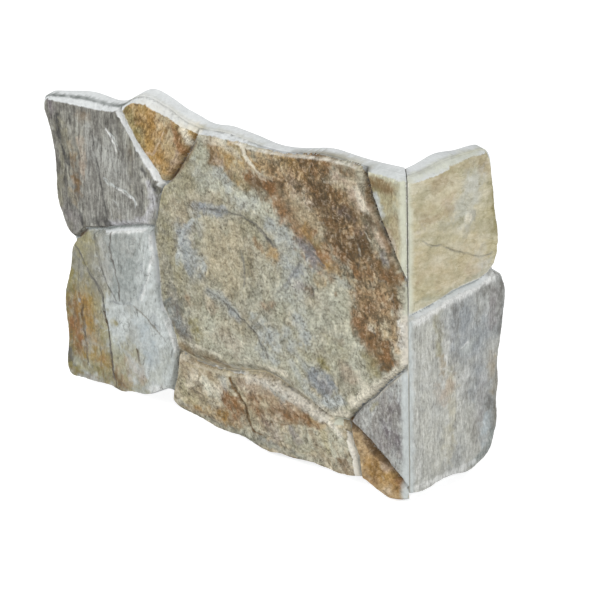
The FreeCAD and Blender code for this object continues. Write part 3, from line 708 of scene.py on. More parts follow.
# %% Stains on the lower stones and on the short slab
STAINS_AND_HIGHLIGHTS["sill"] = [
    ("brick", 8, 0.7, 236, -120, 216, -132), ("rust", 7, 0.6, 222, -118, 214, -126),
    ("umber", 6, 0.5, 234, -132, 230, -138), ("brick", 8, 0.6, 196, -112, 186, -124),
    ("beige", 5, 0.5, 186, -110, 178, -118), ("brick", 8, 0.5, 170, -112, 160, -116),
    ("rust", 7, 0.65, 150, -110, 132, -106), ("brick", 5, 0.6, 132, -114, 128, -108),
    ("ochre", 6, 0.5, 122, -108, 108, -110), ("amber", 6, 0.6, 284, -138, 266, -142),
    ("amber", 8, 0.7, 252, -142, 236, -138), ("khaki", 6, 0.55, 296, -134, 280, -130),
    ("linen", 6, 0.8, 262, -108, 252, -118), ("cream", 6, 0.5, 252, -122, 246, -116),
    ("umber", 5, 0.5, 264, -92, 258, -98), ("tan", 4, 0.6, 270, -98, 252, -104),
    ("moss", 6, 0.5, 300, -104, 296, -124), ("sage", 8, 0.6, 210, -140, 186, -148),
    ("mauve", 8, 0.3, 182, -128, 168, -140), ("lead", 6, 0.4, 196, -146, 170, -152),
    ("linen", 6, 0.6, 212, -146, 204, -150), ("dove", 3.5, 0.7, 184, -150, 180, -152),
    ("bark", 2.2, 0.85, 95, -125, 94, -128), ("umber", 5, 0.55, 82, -142, 76, -144),
    ("umber", 3, 0.45, 88, -140, 86, -146), ("sage", 8, 0.4, 140, -134, 112, -132),
    ("ash", 5, 0.6, 146, -124, 140, -126), ("sage", 7, 0.5, 150, -140, 136, -146),
    ("beige", 8, 0.4, 110, -122, 100, -130), ("rose", 7, 0.45, 216, -96, 180, -94),
    ("rose", 5, 0.5, 160, -100, 132, -100), ("silver", 4, 0.5, 170, -92, 150, -92),
    ("silver", 6, 0.4, 240, -96, 234, -104), ("umber", 4, 0.35, 112, -134, 108, -142),
    ("ash", 4, 0.5, 306, -138, 240, -150), ("ash", 4, 0.5, 232, -150, 120, -153),
]
STAINS_AND_HIGHLIGHTS["sliver"] = [
    ("bark", 3.5, 0.8, 72, -98, 40, -122), ("umber", 3, 0.75, 40, -122, 10, -146),
    ("tan", 6, 0.5, 66, -106, 56, -116), ("amber", 8, 0.8, 50, -134, 40, -140),
    ("flesh", 5, 0.45, 34, -128, 26, -132), ("ochre", 5, 0.7, 28, -136, 20, -140),
    ("rust", 6, 0.8, 18, -142, 10, -146), ("sand", 4, 0.5, 64, -124, 60, -140),
    ("umber", 2.5, 0.5, 46, -126, 42, -150), ("amber", 5, 0.6, 30, -146, 16, -152),
    ("rose", 4, 0.6, 76, -98, 72, -104), ("dove", 6, 0.5, 8, -150, 2, -152),
]
STAINS_AND_HIGHLIGHTS["wedge"] = [
    ("plum", 7, 0.65, 28, -92, 14, -112), ("plum", 5, 0.55, 14, -70, 10, -78),
    ("granite", 6, 0.6, 62, -88, 54, -94), ("granite", 6, 0.3, 52, -80, 46, -72),
    ("moss", 3, 0.5, 46, -76, 42, -72), ("dove", 5, 0.4, 16, -40, 12, -52),
    ("plum", 3, 0.35, 24, -60, 22, -84), ("silver", 5, 0.5, 20, -118, 12, -128),
    ("mauve", 6, 0.4, 40, -100, 30, -110), ("plum", 2.5, 0.5, 12, -52, 11, -62),
]
STAINS_AND_HIGHLIGHTS["quoin"] = [
    ("umber", 5, 0.6, 42, 138, 22, 134), ("linen", 4, 0.45, 34, 146, 16, 143),
    ("moss", 8, 0.5, 34, 132, 22, 124), ("silver", 5, 0.6, 38, 124, 34, 112),
    ("sage", 5, 0.4, 30, 118, 26, 100), ("beige", 4, 0.5, 16, 100, 14, 78),
    ("dove", 4, 0.4, 22, 92, 18, 84), ("sage", 3, 0.4, 14, 134, 13, 106),
]
STAINS_AND_HIGHLIGHTS["khaki"] = [
    ("tan", 7, 0.5, 62, 140, 34, 136), ("tan", 7, 0.35, 104, 142, 76, 145),
    ("tan", 6, 0.5, 112, 128, 100, 136), ("rose", 6, 0.35, 60, 120, 52, 116),
    ("moss", 6, 0.4, 22, 126, 14, 114), ("tan", 5, 0.4, 30, 116, 18, 112),
    ("dove", 14, 0.55, 92, 122, 74, 104), ("sage", 7, 0.3, 86, 112, 72, 100),
    ("tan", 5, 0.5, 60, 106, 18, 102), ("ash", 6, 0.2, 56, 98, 48, 94),
    ("mauve", 3, 0.4, 20, 98, 14, 96), ("moss", 4, 0.6, 74, 93, 68, 92),
    ("cream", 2.6, 0.5, 84, 94, 83, 90), ("ash", 2.6, 0.45, 90, 94, 88, 88),
    ("ash", 3.5, 0.3, 82, 82, 78, 80), ("olive", 6, 0.35, 117, 112, 116, 76),
    ("moss", 6, 0.4, 106, 100, 100, 80), ("olive", 3, 0.5, 118, 72, 116, 68),
    ("moss", 5, 0.4, 40, 82, 30, 78), ("moss", 9, 0.35, 30, 44, 20, 38),
    ("rose", 8, 0.25, 104, 40, 86, 42), ("moss", 8, 0.25, 24, 68, 12, 60),
    ("dove", 6, 0.4, 104, 60, 100, 46), ("tan", 3, 0.5, 16, 50, 14, 48),
    ("sage", 4, 0.4, 12, 30, 100, 32), ("dove", 7, 0.5, 112, 40, 108, 34),
]
STAINS_AND_HIGHLIGHTS["granite"] = [
    ("moss", 5, 0.45, 40, 12, 42, -22), ("tan", 5, 0.55, 46, -30, 48, -46),
    ("rose", 6, 0.4, 58, -56, 52, -72), ("rose", 6, 0.3, 44, -68, 40, -60),
    ("lead", 7, 0.4, 66, 14, 62, -10), ("steel", 8, 0.6, 80, 2, 78, -18),
    ("steel", 7, 0.45, 98, -58, 92, -78), ("steel", 8, 0.4, 108, -10, 104, -30),
    ("mauve", 6, 0.45, 120, 10, 116, -14), ("lead", 7, 0.5, 108, 22, 126, 12),
    ("lead", 5, 0.35, 124, 8, 130, -10), ("tan", 6, 0.4, 118, -50, 122, -84),
    ("lead", 7, 0.5, 112, -92, 122, -120), ("blue", 6, 0.6, 112, -112, 106, -132),
    ("lead", 3, 0.35, 66, -98, 64, -106), ("lead", 5, 0.35, 80, -78, 84, -68),
    ("ash", 5, 0.4, 84, -144, 96, -148), ("lead", 6, 0.55, 116, -136, 108, -146),
    ("dove", 12, 0.5, 18, -62, 26, -96), ("dove", 10, 0.4, 26, -110, 44, -124),
    ("lead", 4, 0.35, 66, -30, 62, -46), ("silver", 6, 0.5, 80, -32, 90, -28),
    ("lead", 3, 0.4, 44, 4, 42, -10), ("silver", 4, 0.5, 54, 12, 46, 10),
    ("dove", 8, 0.3, 22, -24, 12, -8), ("ash", 8, 0.35, 88, -110, 94, -124),
    ("lead", 4, 0.55, 130, -60, 124, -112), ("granite", 8, 0.4, 24, 14, 16, 2),
]
print("stains", sum(len(rows) for rows in STAINS_AND_HIGHLIGHTS.values()))

# %% [markdown]
# Trims are narrow bands along bevels and edges, which hold their line: thin cracks and
# stains, painted highlights where a bevel faces the light, and painted shade where a bevel
# dips into its joint.

# %% Trims
# pale trims on bevels that face the light are painted highlights, and dark trims at the joints are
# painted shade
TRIMS = {}
TRIMS["slate"] = [
    ("lead", 2.5, 0.5, 484, 138, 476, 100), ("coal", 2.6, 0.7, 323, 84, 325, 78),
    ("lilac", 4.5, 0.5, 331, 84, 329, 60, 338, 44, 356, 37, 394, 27),
    ("coal", 3.5, 0.5, 346, 60, 344, 54), ("coal", 3.5, 0.7, 340, 97, 334, 93),
    ("coal", 1.6, 0.5, 412, 118, 409, 84, 402, 56, 398, 32), ("lead", 2, 0.55, 459, 82, 460, 32),
    ("pearl", 1, 0.75, 390, 128, 385, 122, 380, 115, 377, 108),
    ("mist", 1.1, 0.6, 398, 77, 392, 72, 386, 72, 379, 69),
    ("pearl", 1.1, 0.65, 379, 69, 372, 68, 364, 64, 358, 64, 352, 58),
    ("lead", 2.5, 0.45, 371, 112, 368, 90, 362, 76), ("coal", 4, 0.8, 416, 27, 411, 25),
    ("coal", 4, 0.8, 400, 30, 394, 27),
]
TRIMS["ochre"] = [
    ("cream", 4, 0.85, 282, 150, 275, 140, 270, 131), ("rose", 3.5, 0.5, 288, 120, 300, 102),
    ("moss", 3, 0.4, 362, 146, 352, 132),
]
TRIMS["boulder"] = [
    ("umber", 3, 0.5, 262, 136, 280, 112, 298, 98),
    ("grout", 3.5, 0.6, 322, 66, 328, 30, 326, -10, 321, -42),
    ("umber", 2.5, 0.6, 240, 141, 242, 122), ("cream", 2, 0.85, 203, 143, 198, 135, 190, 128),
    ("cream", 1.2, 0.7, 188, 127, 178, 121, 170, 117), ("steel", 4, 0.6, 268, 72, 246, 76, 226, 76),
    ("mist", 2.5, 0.6, 296, 8, 292, 30, 284, 46, 272, 56),
    ("steel", 5, 0.45, 282, 46, 288, 26, 280, 8), ("silver", 5, 0.4, 250, -12, 230, -16, 219, -26),
    ("cream", 1.8, 0.3, 300, -72, 244, -74), ("umber", 3, 0.4, 292, -80, 282, -81),
    ("umber", 3, 0.4, 264, -81, 248, -83), ("cream", 2.2, 0.5, 176, -70, 150, -71),
    ("cream", 3, 0.6, 112, -91, 92, -96, 74, -90), ("steel", 10, 0.6, 112, -64, 102, -72),
    ("steel", 3, 0.4, 140, -44, 128, -58, 118, -68), ("mauve", 5, 0.35, 108, -66, 98, -74),
    ("mist", 5, 0.5, 104, -86, 84, -80), ("silver", 4, 0.5, 146, -58, 126, -80, 108, -90),
    ("fawn", 3, 0.5, 17, 8, 13, -12), ("cream", 4.5, 0.65, 68, -78, 40, -54, 14, -34),
    ("cream", 4, 0.7, 60, 128, 56, 120, 50, 112), ("bark", 4, 0.5, 48, 106, 43, 100),
    ("flesh", 3, 0.3, 32, 92, 24, 80), ("sand", 5, 0.5, 84, 128, 64, 134),
    ("umber", 3, 0.6, 18, 44, 15, 20), ("cream", 2, 0.5, 47, 1, 40, -1),
    ("ash", 1.3, 0.5, 206, 40, 202, 22, 204, 4),
    ("lead", 0.9, 0.55, 262, 70, 240, 75, 205, 76, 192, 71),
    ("lead", 1.5, 0.6, 194, 72, 180, 66, 171, 58, 162, 54), ("ash", 1.2, 0.45, 206, 77, 200, 88),
    ("lead", 1.4, 0.65, 132, 42, 140, 32, 148, 22), ("ash", 0.9, 0.6, 148, 22, 152, 16, 160, 9),
    ("grout", 1.2, 0.8, 322, -42, 309, -31), ("lead", 1, 0.5, 224, -22, 206, -30, 192, -38),
    ("lead", 1.3, 0.5, 186, -42, 181, -50, 176, -62), ("lead", 1.1, 0.6, 130, 66, 116, 58, 100, 49),
    ("ash", 2, 0.6, 188, -74, 172, -77, 150, -78), ("bark", 2, 0.6, 150, 116, 150, 104),
    ("bark", 2, 0.5, 100, 128, 96, 100),
    ("umber", 2.6, 0.75, 50, 146, 46, 124, 36, 102, 24, 80, 15, 62),
    ("amber", 4, 0.25, 168, 47, 164, 45), ("umber", 2, 0.4, 188, 56, 182, 48),
    ("mauve", 4, 0.5, 130, 66, 110, 52), ("steel", 3, 0.5, 148, 20, 140, 30, 130, 40),
    ("cream", 4, 0.45, 250, 142, 230, 142, 206, 134),
]
TRIMS["bluestone"] = [
    ("pearl", 2.2, 0.5, 396, 21, 370, 27, 345, 33),
    ("pearl", 2.2, 0.7, 336, 28, 328, -10, 316, -52, 304, -84),
    ("pearl", 1.4, 0.5, 334, 6, 340, -16, 352, -42), ("shade", 2, 0.4, 338, 8, 345, -16, 357, -42),
    ("mist", 4, 0.4, 392, -84, 372, -74, 358, -62),
    ("coal", 0.9, 0.75, 448, -5, 436, -24, 422, -39, 414, -52, 411, -70),
    ("bark", 1.2, 0.9, 411, -70, 406, -86, 404, -108, 404, -130, 399, -149),
    ("coal", 1.1, 0.6, 419, 14, 417, -8), ("lead", 1, 0.6, 413, -18, 402, -40, 392, -52),
    ("lead", 1, 0.7, 394, 19, 396, 4, 391, -18, 386, -34, 386, -50),
    ("bark", 1.1, 0.8, 442, -62, 447, -80, 445, -108),
    ("coal", 1, 0.5, 446, -20, 450, -50, 447, -64), ("ash", 1.2, 0.7, 364, -52, 346, -60, 328, -72),
    ("bark", 1.2, 0.7, 363, -98, 361, -110), ("coal", 3, 0.6, 474, -116, 472, -138),
    ("bark", 1, 0.6, 444, -112, 443, -134), ("steel", 1.4, 0.45, 350, -4, 344, -22, 356, -42),
    ("steel", 1.3, 0.5, 400, -55, 384, -54, 370, -50), ("olive", 3, 0.35, 380, -144, 350, -142),
    ("umber", 3, 0.35, 470, -147, 400, -150), ("ash", 1.4, 0.5, 420, -34, 404, -24),
]
TRIMS["sill"] = [
    ("shell", 5, 0.8, 204, -88, 170, -87, 140, -94, 104, -104),
    ("sand", 3, 0.6, 290, -95, 232, -92), ("ivory", 3, 0.75, 108, -103, 96, -107, 86, -114),
    ("umber", 3, 0.35, 296, -92, 250, -91),
    ("bark", 1.5, 0.95, 229, -96, 218, -109, 210, -117, 205, -130, 198, -142),
    ("cream", 4, 0.5, 264, -104, 256, -114), ("umber", 2, 0.6, 94, -126, 93, -129),
    ("rust", 3.5, 0.6, 122, -112, 112, -114), ("khaki", 4, 0.6, 108, -118, 100, -136),
    ("umber", 3, 0.5, 122, -122, 116, -134), ("linen", 3, 0.5, 98, -118, 92, -138),
    ("mauve", 4, 0.5, 150, -128, 138, -136), ("umber", 2.5, 0.5, 88, -140, 82, -146),
    ("sage", 3, 0.4, 300, -146, 200, -152, 110, -150),
]
TRIMS["sliver"] = [
    ("bark", 3.5, 0.6, 74, -97, 44, -117, 10, -141), ("fawn", 4, 0.6, 60, -128, 58, -146),
    ("fawn", 4, 0.5, 66, -108, 54, -122),
]
TRIMS["wedge"] = [
    ("mist", 3, 0.5, 14, -36, 13, -60), ("lead", 2, 0.4, 66, -88, 40, -62, 14, -38),
]
TRIMS["quoin"] = [
    ("umber", 3, 0.5, 40, 136, 24, 133), ("linen", 3, 0.6, 46, 147, 14, 145),
    ("mist", 3.5, 0.6, 38, 124, 32, 110), ("rose", 3.5, 0.4, 24, 96, 14, 74),
]
TRIMS["khaki"] = [
    ("sage", 3, 0.35, 8, 26, 60, 30, 112, 36), ("olive", 3, 0.5, 119, 130, 122, 70),
    ("cream", 2, 0.5, 86, 94, 85, 91),
]
TRIMS["granite"] = [
    ("pearl", 3.5, 0.55, 10, 14, 60, 20, 120, 26), ("lead", 3, 0.4, 132, 20, 130, -30),
    ("ash", 3, 0.5, 126, -60, 124, -120), ("shade", 4, 0.75, 122, -126, 112, -142, 88, -149),
    ("pearl", 3, 0.4, 10, -146, 60, -149, 92, -148),
]
print("trims", sum(map(len, TRIMS.values())))

# %% [markdown]
# The bare body shows on the rims, in the joints and on the strip beside the corner.
# It has stains and painted light too: painted shade in the joints and the rim's crease,
# painted highlights on bevels that face the light, and the stones' colours where the glaze
# ran over their edges.

# %% Stains on the bare body
BODY_STAINS_SHADE_AND_HIGHLIGHTS = {}
# grey strokes along the joints are painted shade, pale bands on bevels that face the light are
# painted highlights, and the brown and tan strokes are glaze run over the edges
BODY_STAINS_SHADE_AND_HIGHLIGHTS["long_slab"] = [
    ("rust", 6, 0.5, 274, 128, 288, 108, 302, 94), ("umber", 4, 0.6, 284, 120, 300, 98),
    ("cream", 6, 0.7, 262, 150, 272, 134), ("grout", 3.5, 0.75, 314, 84, 322, 62, 328, 40),
    ("coal", 3, 0.6, 323, 83, 323, 78), ("grout", 3, 0.75, 328, 40, 325, 0, 324, -36),
    ("shade", 2.6, 0.8, 324, -36, 312, -60, 302, -84),
    ("ash", 3.2, 0.8, 302, -86, 308, -110, 313, -128), ("umber", 1.2, 0.6, 302, -92, 309, -114),
    ("tan", 7, 0.6, 300, -80, 262, -84, 232, -84), ("umber", 4, 0.6, 292, -79, 280, -80),
    ("umber", 3, 0.5, 268, -84, 252, -84), ("sand", 6, 0.9, 290, -84, 200, -80, 150, -84, 98, -98),
    ("mauve", 4, 0.6, 292, -82, 262, -80, 246, -80), ("silver", 4, 0.5, 240, -80, 222, -80),
    ("umber", 1.5, 0.5, 270, -84, 234, -84), ("lead", 1, 0.7, 160, -84, 130, -90, 106, -100),
    ("shell", 2.4, 0.8, 188, -86, 150, -89, 108, -103), ("tan", 2.5, 0.5, 100, -101, 86, -101),
    ("lead", 1.6, 0.6, 74, -96, 66, -86, 48, -68, 32, -54),
    ("umber", 4.5, 0.8, 74, -97, 50, -114, 24, -134, 6, -148),
    ("linen", 6, 0.85, 106, -101, 84, -103), ("ivory", 7, 1, 80, -114, 74, -124, 62, -150),
    ("shade", 1.5, 0.6, 62, -150, 66, -128, 76, -108),
    ("bark", 4.2, 0.95, 48, 146, 44, 126, 32, 102, 20, 78, 10, 60),
    ("shade", 1.6, 0.7, 450, 3, 430, 16, 400, 22, 365, 32, 330, 38),
    ("umber", 3, 0.6, 446, 5, 436, 12), ("pearl", 6, 0.9, 370, 148, 352, 128, 334, 106, 318, 88),
    ("cream", 5, 0.6, 290, 146, 276, 146, 268, 152),
    ("cream", 6, 0.25, 340, 160, 300, 158, 260, 158), ("beige", 3, 0.4, 120, 152, 60, 152),
    ("beige", 5, 0.6, 30, -158, 10, -152, 0, -150), ("cream", 6, 0.35, 8, 140, 8, 40),
    ("silver", 6, 0.35, 50, 149, 2, 146), ("cream", 8, 0.6, 8, 20, 4, -26),
    ("mist", 7, 0.6, 6, -40, 6, -140),
]
BODY_STAINS_SHADE_AND_HIGHLIGHTS["short_slab"] = [
    ("cream", 6, 0.6, 4, 140, 4, 30), ("mist", 7, 0.8, 6, -30, 6, -70),
    ("dove", 6, 0.7, 6, 14, 6, -26), ("dove", 6, 0.6, 5, -90, 6, -140),
    ("linen", 6, 0.6, 0, 148, 60, 150, 130, 154), ("ash", 5, 0.7, 118, 32, 134, 22),
    ("mist", 3, 0.4, 8, 22, 60, 26, 100, 29),
]
print("stains on the body", sum(len(rows) for rows in BODY_STAINS_SHADE_AND_HIGHLIGHTS.values()))

# %% [markdown]
# ## Cracks, veins and cleft plates
#
# Split stone breaks in thin plates, so its face has low steps, open cracks where a
# plate lifts, and pale veins. Cracks and veins are lines on the drawing; every point
# learns how near the next one is. Plates are outlines with a height.

# %% Cracks, veins and plates
# half width, strength, then the spots of the line
CRACKS = {}
CRACKS["slate"] = [
    (1.3, 0.7, 410, 112, 409, 92, 406, 78, 404, 62, 399, 50, 397, 30),
    (1.2, 0.5, 459, 64, 459, 46, 461, 30), (0.8, 0.35, 430, 108, 428, 92, 426, 84),
    (1, 0.45, 446, 48, 442, 34, 438, 24), (0.9, 0.35, 372, 106, 369, 96, 368, 84),
    (0.9, 0.4, 388, 122, 384, 112, 378, 106), (0.9, 0.3, 456, 110, 452, 90, 450, 70),
]
CRACKS["boulder"] = [
    (1.1, 0.65, 266, 69, 246, 73, 225, 73, 205, 76, 190, 71, 178, 66, 163, 53),
    (1.1, 0.55, 252, -10, 222, -22, 205, -30, 192, -38, 185, -48, 178, -58),
    (1.2, 0.6, 138, 68, 126, 64, 115, 57, 100, 49), (1.1, 0.5, 130, 42, 136, 36, 143, 25, 150, 12),
    (1.2, 0.45, 145, -55, 132, -60, 125, -66, 120, -76),
    (0.9, 0.4, 212, 40, 204, 34, 202, 20, 204, 6), (0.8, 0.4, 198, 90, 205, 82, 206, 76),
    (0.8, 0.35, 188, 88, 184, 80), (0.8, 0.3, 192, 36, 186, 26),
    (1, 0.45, 320, -42, 308, -32, 300, -24), (0.8, 0.3, 296, 34, 300, 20),
    (0.8, 0.35, 268, 104, 246, 108, 232, 102, 222, 98), (0.8, 0.25, 250, 8, 238, -8),
    (0.8, 0.35, 206, -26, 196, -28, 190, -20), (0.9, 0.3, 160, -66, 146, -70),
    (1, 0.4, 60, 78, 56, 66, 58, 56), (1.2, 0.7, 20, 34, 16, 24), (0.9, 0.25, 90, -22, 84, -44),
    (1, 0.35, 50, 52, 28, 48),
]
CRACKS["bluestone"] = [
    (1.5, 0.8, 448, -6, 442, -12, 436, -24, 430, -34, 418, -42, 413, -50, 411, -62, 408, -80, 405,
     -95, 404, -115, 403, -140, 398, -149),
    (1.3, 0.55, 417, 14, 416, 0, 415, -14, 411, -26, 404, -38, 397, -46, 392, -52),
    (1.3, 0.6, 394, 22, 396, 6, 394, -8, 389, -24, 386, -40, 386, -50),
    (1.2, 0.5, 442, -30, 446, -46, 450, -60, 447, -68, 444, -90, 444, -112),
    (1, 0.5, 362, -52, 345, -60, 334, -66, 318, -80), (1, 0.4, 381, -64, 374, -76),
    (1.4, 0.5, 362, -100, 361, -110), (0.9, 0.35, 400, -55, 384, -54, 370, -50),
    (0.9, 0.25, 366, -4, 352, -22, 344, -38), (1, 0.45, 426, -24, 420, -36, 413, -46),
    (1.2, 0.5, 443, -114, 443, -132), (2, 0.5, 470, -122, 468, -138),
]
CRACKS["sill"] = [
    (1.9, 0.8, 229, -96, 226, -104, 218, -109, 211, -116, 206, -126, 203, -136, 198, -142, 188,
     -144), (1.2, 0.5, 172, -126, 158, -124, 146, -120, 132, -117),
    (0.9, 0.4, 268, -98, 256, -102, 250, -106), (1.2, 0.4, 236, -134, 230, -120),
    (1, 0.4, 198, -100, 192, -108), (1.2, 0.5, 176, -126, 172, -132),
    (0.8, 0.3, 288, -110, 284, -124), (0.9, 0.35, 86, -136, 90, -150),
]
CRACKS["sliver"] = [
    (0.8, 0.3, 44, -124, 46, -140, 42, -152),
]
CRACKS["wedge"] = [
    (0.9, 0.4, 12, -48, 11, -66), (0.8, 0.25, 34, -70, 33, -100),
]
CRACKS["quoin"] = [
    (0.8, 0.3, 15, 110, 15, 84),
]
CRACKS["khaki"] = [
    (1, 0.6, 20, 87, 33, 80, 47, 77, 58, 70, 72, 64, 85, 58, 97, 53, 108, 51, 118, 52),
    (0.8, 0.35, 4, 106, 12, 103, 40, 100), (0.7, 0.2, 104, 80, 98, 84),
]
CRACKS["granite"] = [
    (1, 0.3, 36, 8, 38, -6, 46, -16), (0.9, 0.3, 64, -44, 66, -60, 72, -72),
    (0.8, 0.25, 84, -92, 88, -100),
]
VEINS = {}
VEINS["slate"] = [
    (1.1, 0.75, 386, 125, 380, 121, 377, 117, 374, 112, 372, 107),
    (1.2, 0.7, 397, 76, 388, 73, 380, 71, 371, 69, 364, 67, 357, 64, 354, 60, 354, 54),
    (0.9, 0.35, 386, 56, 380, 52, 376, 48), (1.6, 0.4, 366, 44, 366, 34),
    (1.2, 0.35, 436, 122, 432, 104), (1, 0.3, 392, 46, 390, 36), (1.2, 0.3, 448, 98, 446, 92),
    (1.6, 0.3, 380, 92, 377, 88),
]
VEINS["ochre"] = [
    (1.6, 0.75, 306, 138, 311, 130, 316, 124, 322, 114, 332, 113),
]
VEINS["boulder"] = [
    (1.7, 0.7, 201, 142, 196, 134, 190, 128), (1.1, 0.75, 184, 122, 178, 118, 170, 116),
    (1, 0.3, 228, 70, 206, 74), (1.3, 0.45, 58, 74, 54, 68), (1.5, 0.5, 50, 90, 44, 84),
    (1.4, 0.35, 98, 128, 82, 130), (1.4, 0.35, 106, 88, 100, 90), (1.4, 0.5, 150, -68, 170, -70),
    (1.3, 0.45, 296, -70, 240, -74), (1.3, 0.45, 24, 32, 18, 38), (1.2, 0.4, 136, -16, 150, -16),
    (1.2, 0.4, 178, -26, 166, -22),
]
VEINS["bluestone"] = [
    (1.2, 0.6, 414, -92, 404, -86, 392, -82), (1.5, 0.4, 452, -64, 448, -66),
    (5, 0.4, 326, -4, 332, -14, 342, -30, 352, -44), (1.2, 0.3, 390, -26, 388, -34),
]
VEINS["sill"] = [
    (1.6, 0.4, 256, -86, 244, -90), (2, 0.4, 190, -86, 110, -106),
]
VEINS["khaki"] = [
    (0.8, 0.2, 30, 84, 20, 90),
]
VEINS["granite"] = [
    (1, 0.35, 46, 10, 48, -6), (1.8, 0.4, 74, -52, 76, -60), (0.9, 0.35, 44, -40, 62, -48),
    (1.4, 0.4, 84, -26, 72, -28),
]
# height in millimetres, then the spots of the outline
PLATES = {}
PLATES["slate"] = [
    (0.55, 408, 146, 409, 110, 405, 78, 398, 48, 396, 20, 340, 20, 320, 100, 370, 150),
    (0.35, 396, 76, 372, 70, 356, 62, 354, 50, 320, 48, 320, 100, 380, 100),
    (-0.6, 484, 146, 466, 128, 460, 90, 458, 30, 440, 0, 500, 0, 500, 150),
]
PLATES["boulder"] = [
    (0.7, 266, 69, 225, 73, 205, 76, 178, 66, 160, 50, 150, 14, 160, -20, 178, -58, 192, -38, 222,
     -22, 256, -8, 262, 30),
    (0.55, 250, 145, 243, 122, 222, 118, 205, 110, 165, 104, 130, 88, 120, 74, 100, 49, 60, 60, 0,
     60, 40, 150), (-0.5, 330, 45, 300, 20, 296, -20, 322, -42, 340, 0),
    (-0.45, 140, 68, 100, 49, 84, 44, 110, 20, 144, 24, 166, 50),
    (-0.5, 120, -56, 84, -58, 86, -80, 112, -82),
    (0.45, 66, 28, 28, 26, 10, 10, 12, -32, 50, -44, 66, -10),
]
PLATES["bluestone"] = [
    (-0.7, 445, -6, 430, -34, 412, -50, 404, -95, 402, -152, 500, -160, 500, 0),
    (0.45, 416, 16, 411, -26, 392, -52, 360, -52, 330, -70, 310, -90, 340, 40),
    (0.5, 444, -64, 446, -110, 475, -124, 480, -60),
]
PLATES["sill"] = [
    (0.8, 229, -90, 218, -109, 206, -126, 198, -142, 196, -160, 320, -160, 310, -88),
    (0.5, 200, -100, 172, -126, 132, -117, 110, -100),
    (0.4, 268, -100, 250, -106, 246, -124, 266, -130, 284, -116),
]
PLATES["ochre"] = [
    (0.5, 332, 113, 316, 124, 306, 138, 300, 160, 260, 150, 300, 96),
]
PLATES["sliver"] = [
    (0.4, 60, -100, 44, -124, 44, -156, 0, -156, 6, -140),
]
PLATES["khaki"] = [
    (0.45, 16, 88, 47, 77, 72, 64, 97, 53, 122, 52, 130, 20, 0, 20, 0, 88),
]
PLATES["granite"] = [
    (0.5, 62, 20, 60, -20, 64, -60, 62, -110, 66, -156, 140, -156, 140, 20),
    (0.25, 36, 12, 40, -20, 44, -40, 30, -60, 0, -60, 0, 20),
]
print("cracks", sum(map(len, CRACKS.values())), "veins", sum(map(len, VEINS.values())),
      "plates", sum(map(len, PLATES.values())))


# %% How near the next line is
NEAR_LIMIT = 6.0    # millimetres beyond which a line doesn't matter


def nearness(a, z, stone, lines):
    """Distance past the edge of the nearest line, and that line's strength."""
    near = np.full(len(a), NEAR_LIMIT)
    strength = np.zeros(len(a))
    bend = 1.1 * noise(a, z, 7, 51) + 0.5 * noise(a, z, 3, 52)
    lean = 1.1 * noise(a, z, 8, 53) + 0.5 * noise(a, z, 3, 54)
    width = 0.65 + 0.35 * noise(a, z, 9, 55)
    force = 0.5 + 0.6 * ramp(noise(a, z, 11, 56), -0.6, 0.3)
    for name, rows in lines.items():
        mine = np.flatnonzero(stone == NUMBER[name])
        for half, share, *path in rows:
            if not len(mine):
                continue
            gap = to_stroke(a[mine] + bend[mine], z[mine] + lean[mine], path) - half * width[mine]
            nearer = gap < near[mine]
            near[mine[nearer]] = gap[nearer]
            strength[mine[nearer]] = share * force[mine[nearer]]
    return near, strength


def inside_outline(a, z, outline):
    """Signed distance to an outline: above zero inside it."""
    within = np.zeros(len(a), bool)
    closed = outline + outline[:2]
    spots = list(zip(closed[::2], closed[1::2]))
    for (a1, z1), (a2, z2) in zip(spots, spots[1:]):
        if z1 != z2:
            across = (z1 > z) != (z2 > z)
            within ^= across & (a < (a2 - a1) * (z - z1) / (z2 - z1) + a1)
    gap = to_stroke(a, z, closed)
    return np.where(within, gap, -gap)


def plate_heights(a, z, stone):
    """Height of the cleft plates, with edges that wander."""
    height = np.zeros(len(a))
    wander = 4 * cloud(a, z, 16, 61)
    for name, rows in PLATES.items():
        mine = np.flatnonzero(stone == NUMBER[name])
        for rise, *outline in rows:
            if len(mine):
                depth = inside_outline(a[mine], z[mine], outline) + wander[mine]
                height[mine] += rise * ramp(depth, -1.0, 1.0)
    return height


# %% [markdown]
# ## Painting the points
#
# Every point gets two colours: its stone's, and the bare body's below it. The shader
# chooses between them at the ragged edge of each stone's top.

# %% Bare edges, painted shade in the rim's crease, painted highlights and the worn corner
REACH = 9.0    # millimetres past the crest, enough to cover a bevel
# where a stone's print stops short: half width, share, then the spots of the path
BARE_EDGES = {}
BARE_EDGES["long_slab"] = [
    (12, 1, 490, 150, 440, 152, 376, 152), (8, 1, 370, 150, 344, 120, 318, 88),
    (11, 0.95, 366, 150, 330, 164, 290, 160, 268, 156), (9, 0.95, 262, 152, 216, 152),
    (7, 0.75, 216, 150, 144, 149), (7, 0.3, 322, 84, 326, 62, 330, 40),
    (6, 0.85, 398, 20, 345, 30, 332, 28), (5, 0.75, 330, 26, 326, -10, 322, -44),
    (4, 0.6, 312, -66, 304, -90), (4, 0.8, 256, -86, 200, -84, 150, -90, 104, -106),
    (7, 1, 88, -107, 76, -120, 65, -152), (9, 1, 46, 152, 0, 150),
]
BARE_EDGES["short_slab"] = [
    (11, 1, 0, 150, 60, 152, 130, 158), (6, 0.85, 0, 16, 60, 22, 132, 32),
]
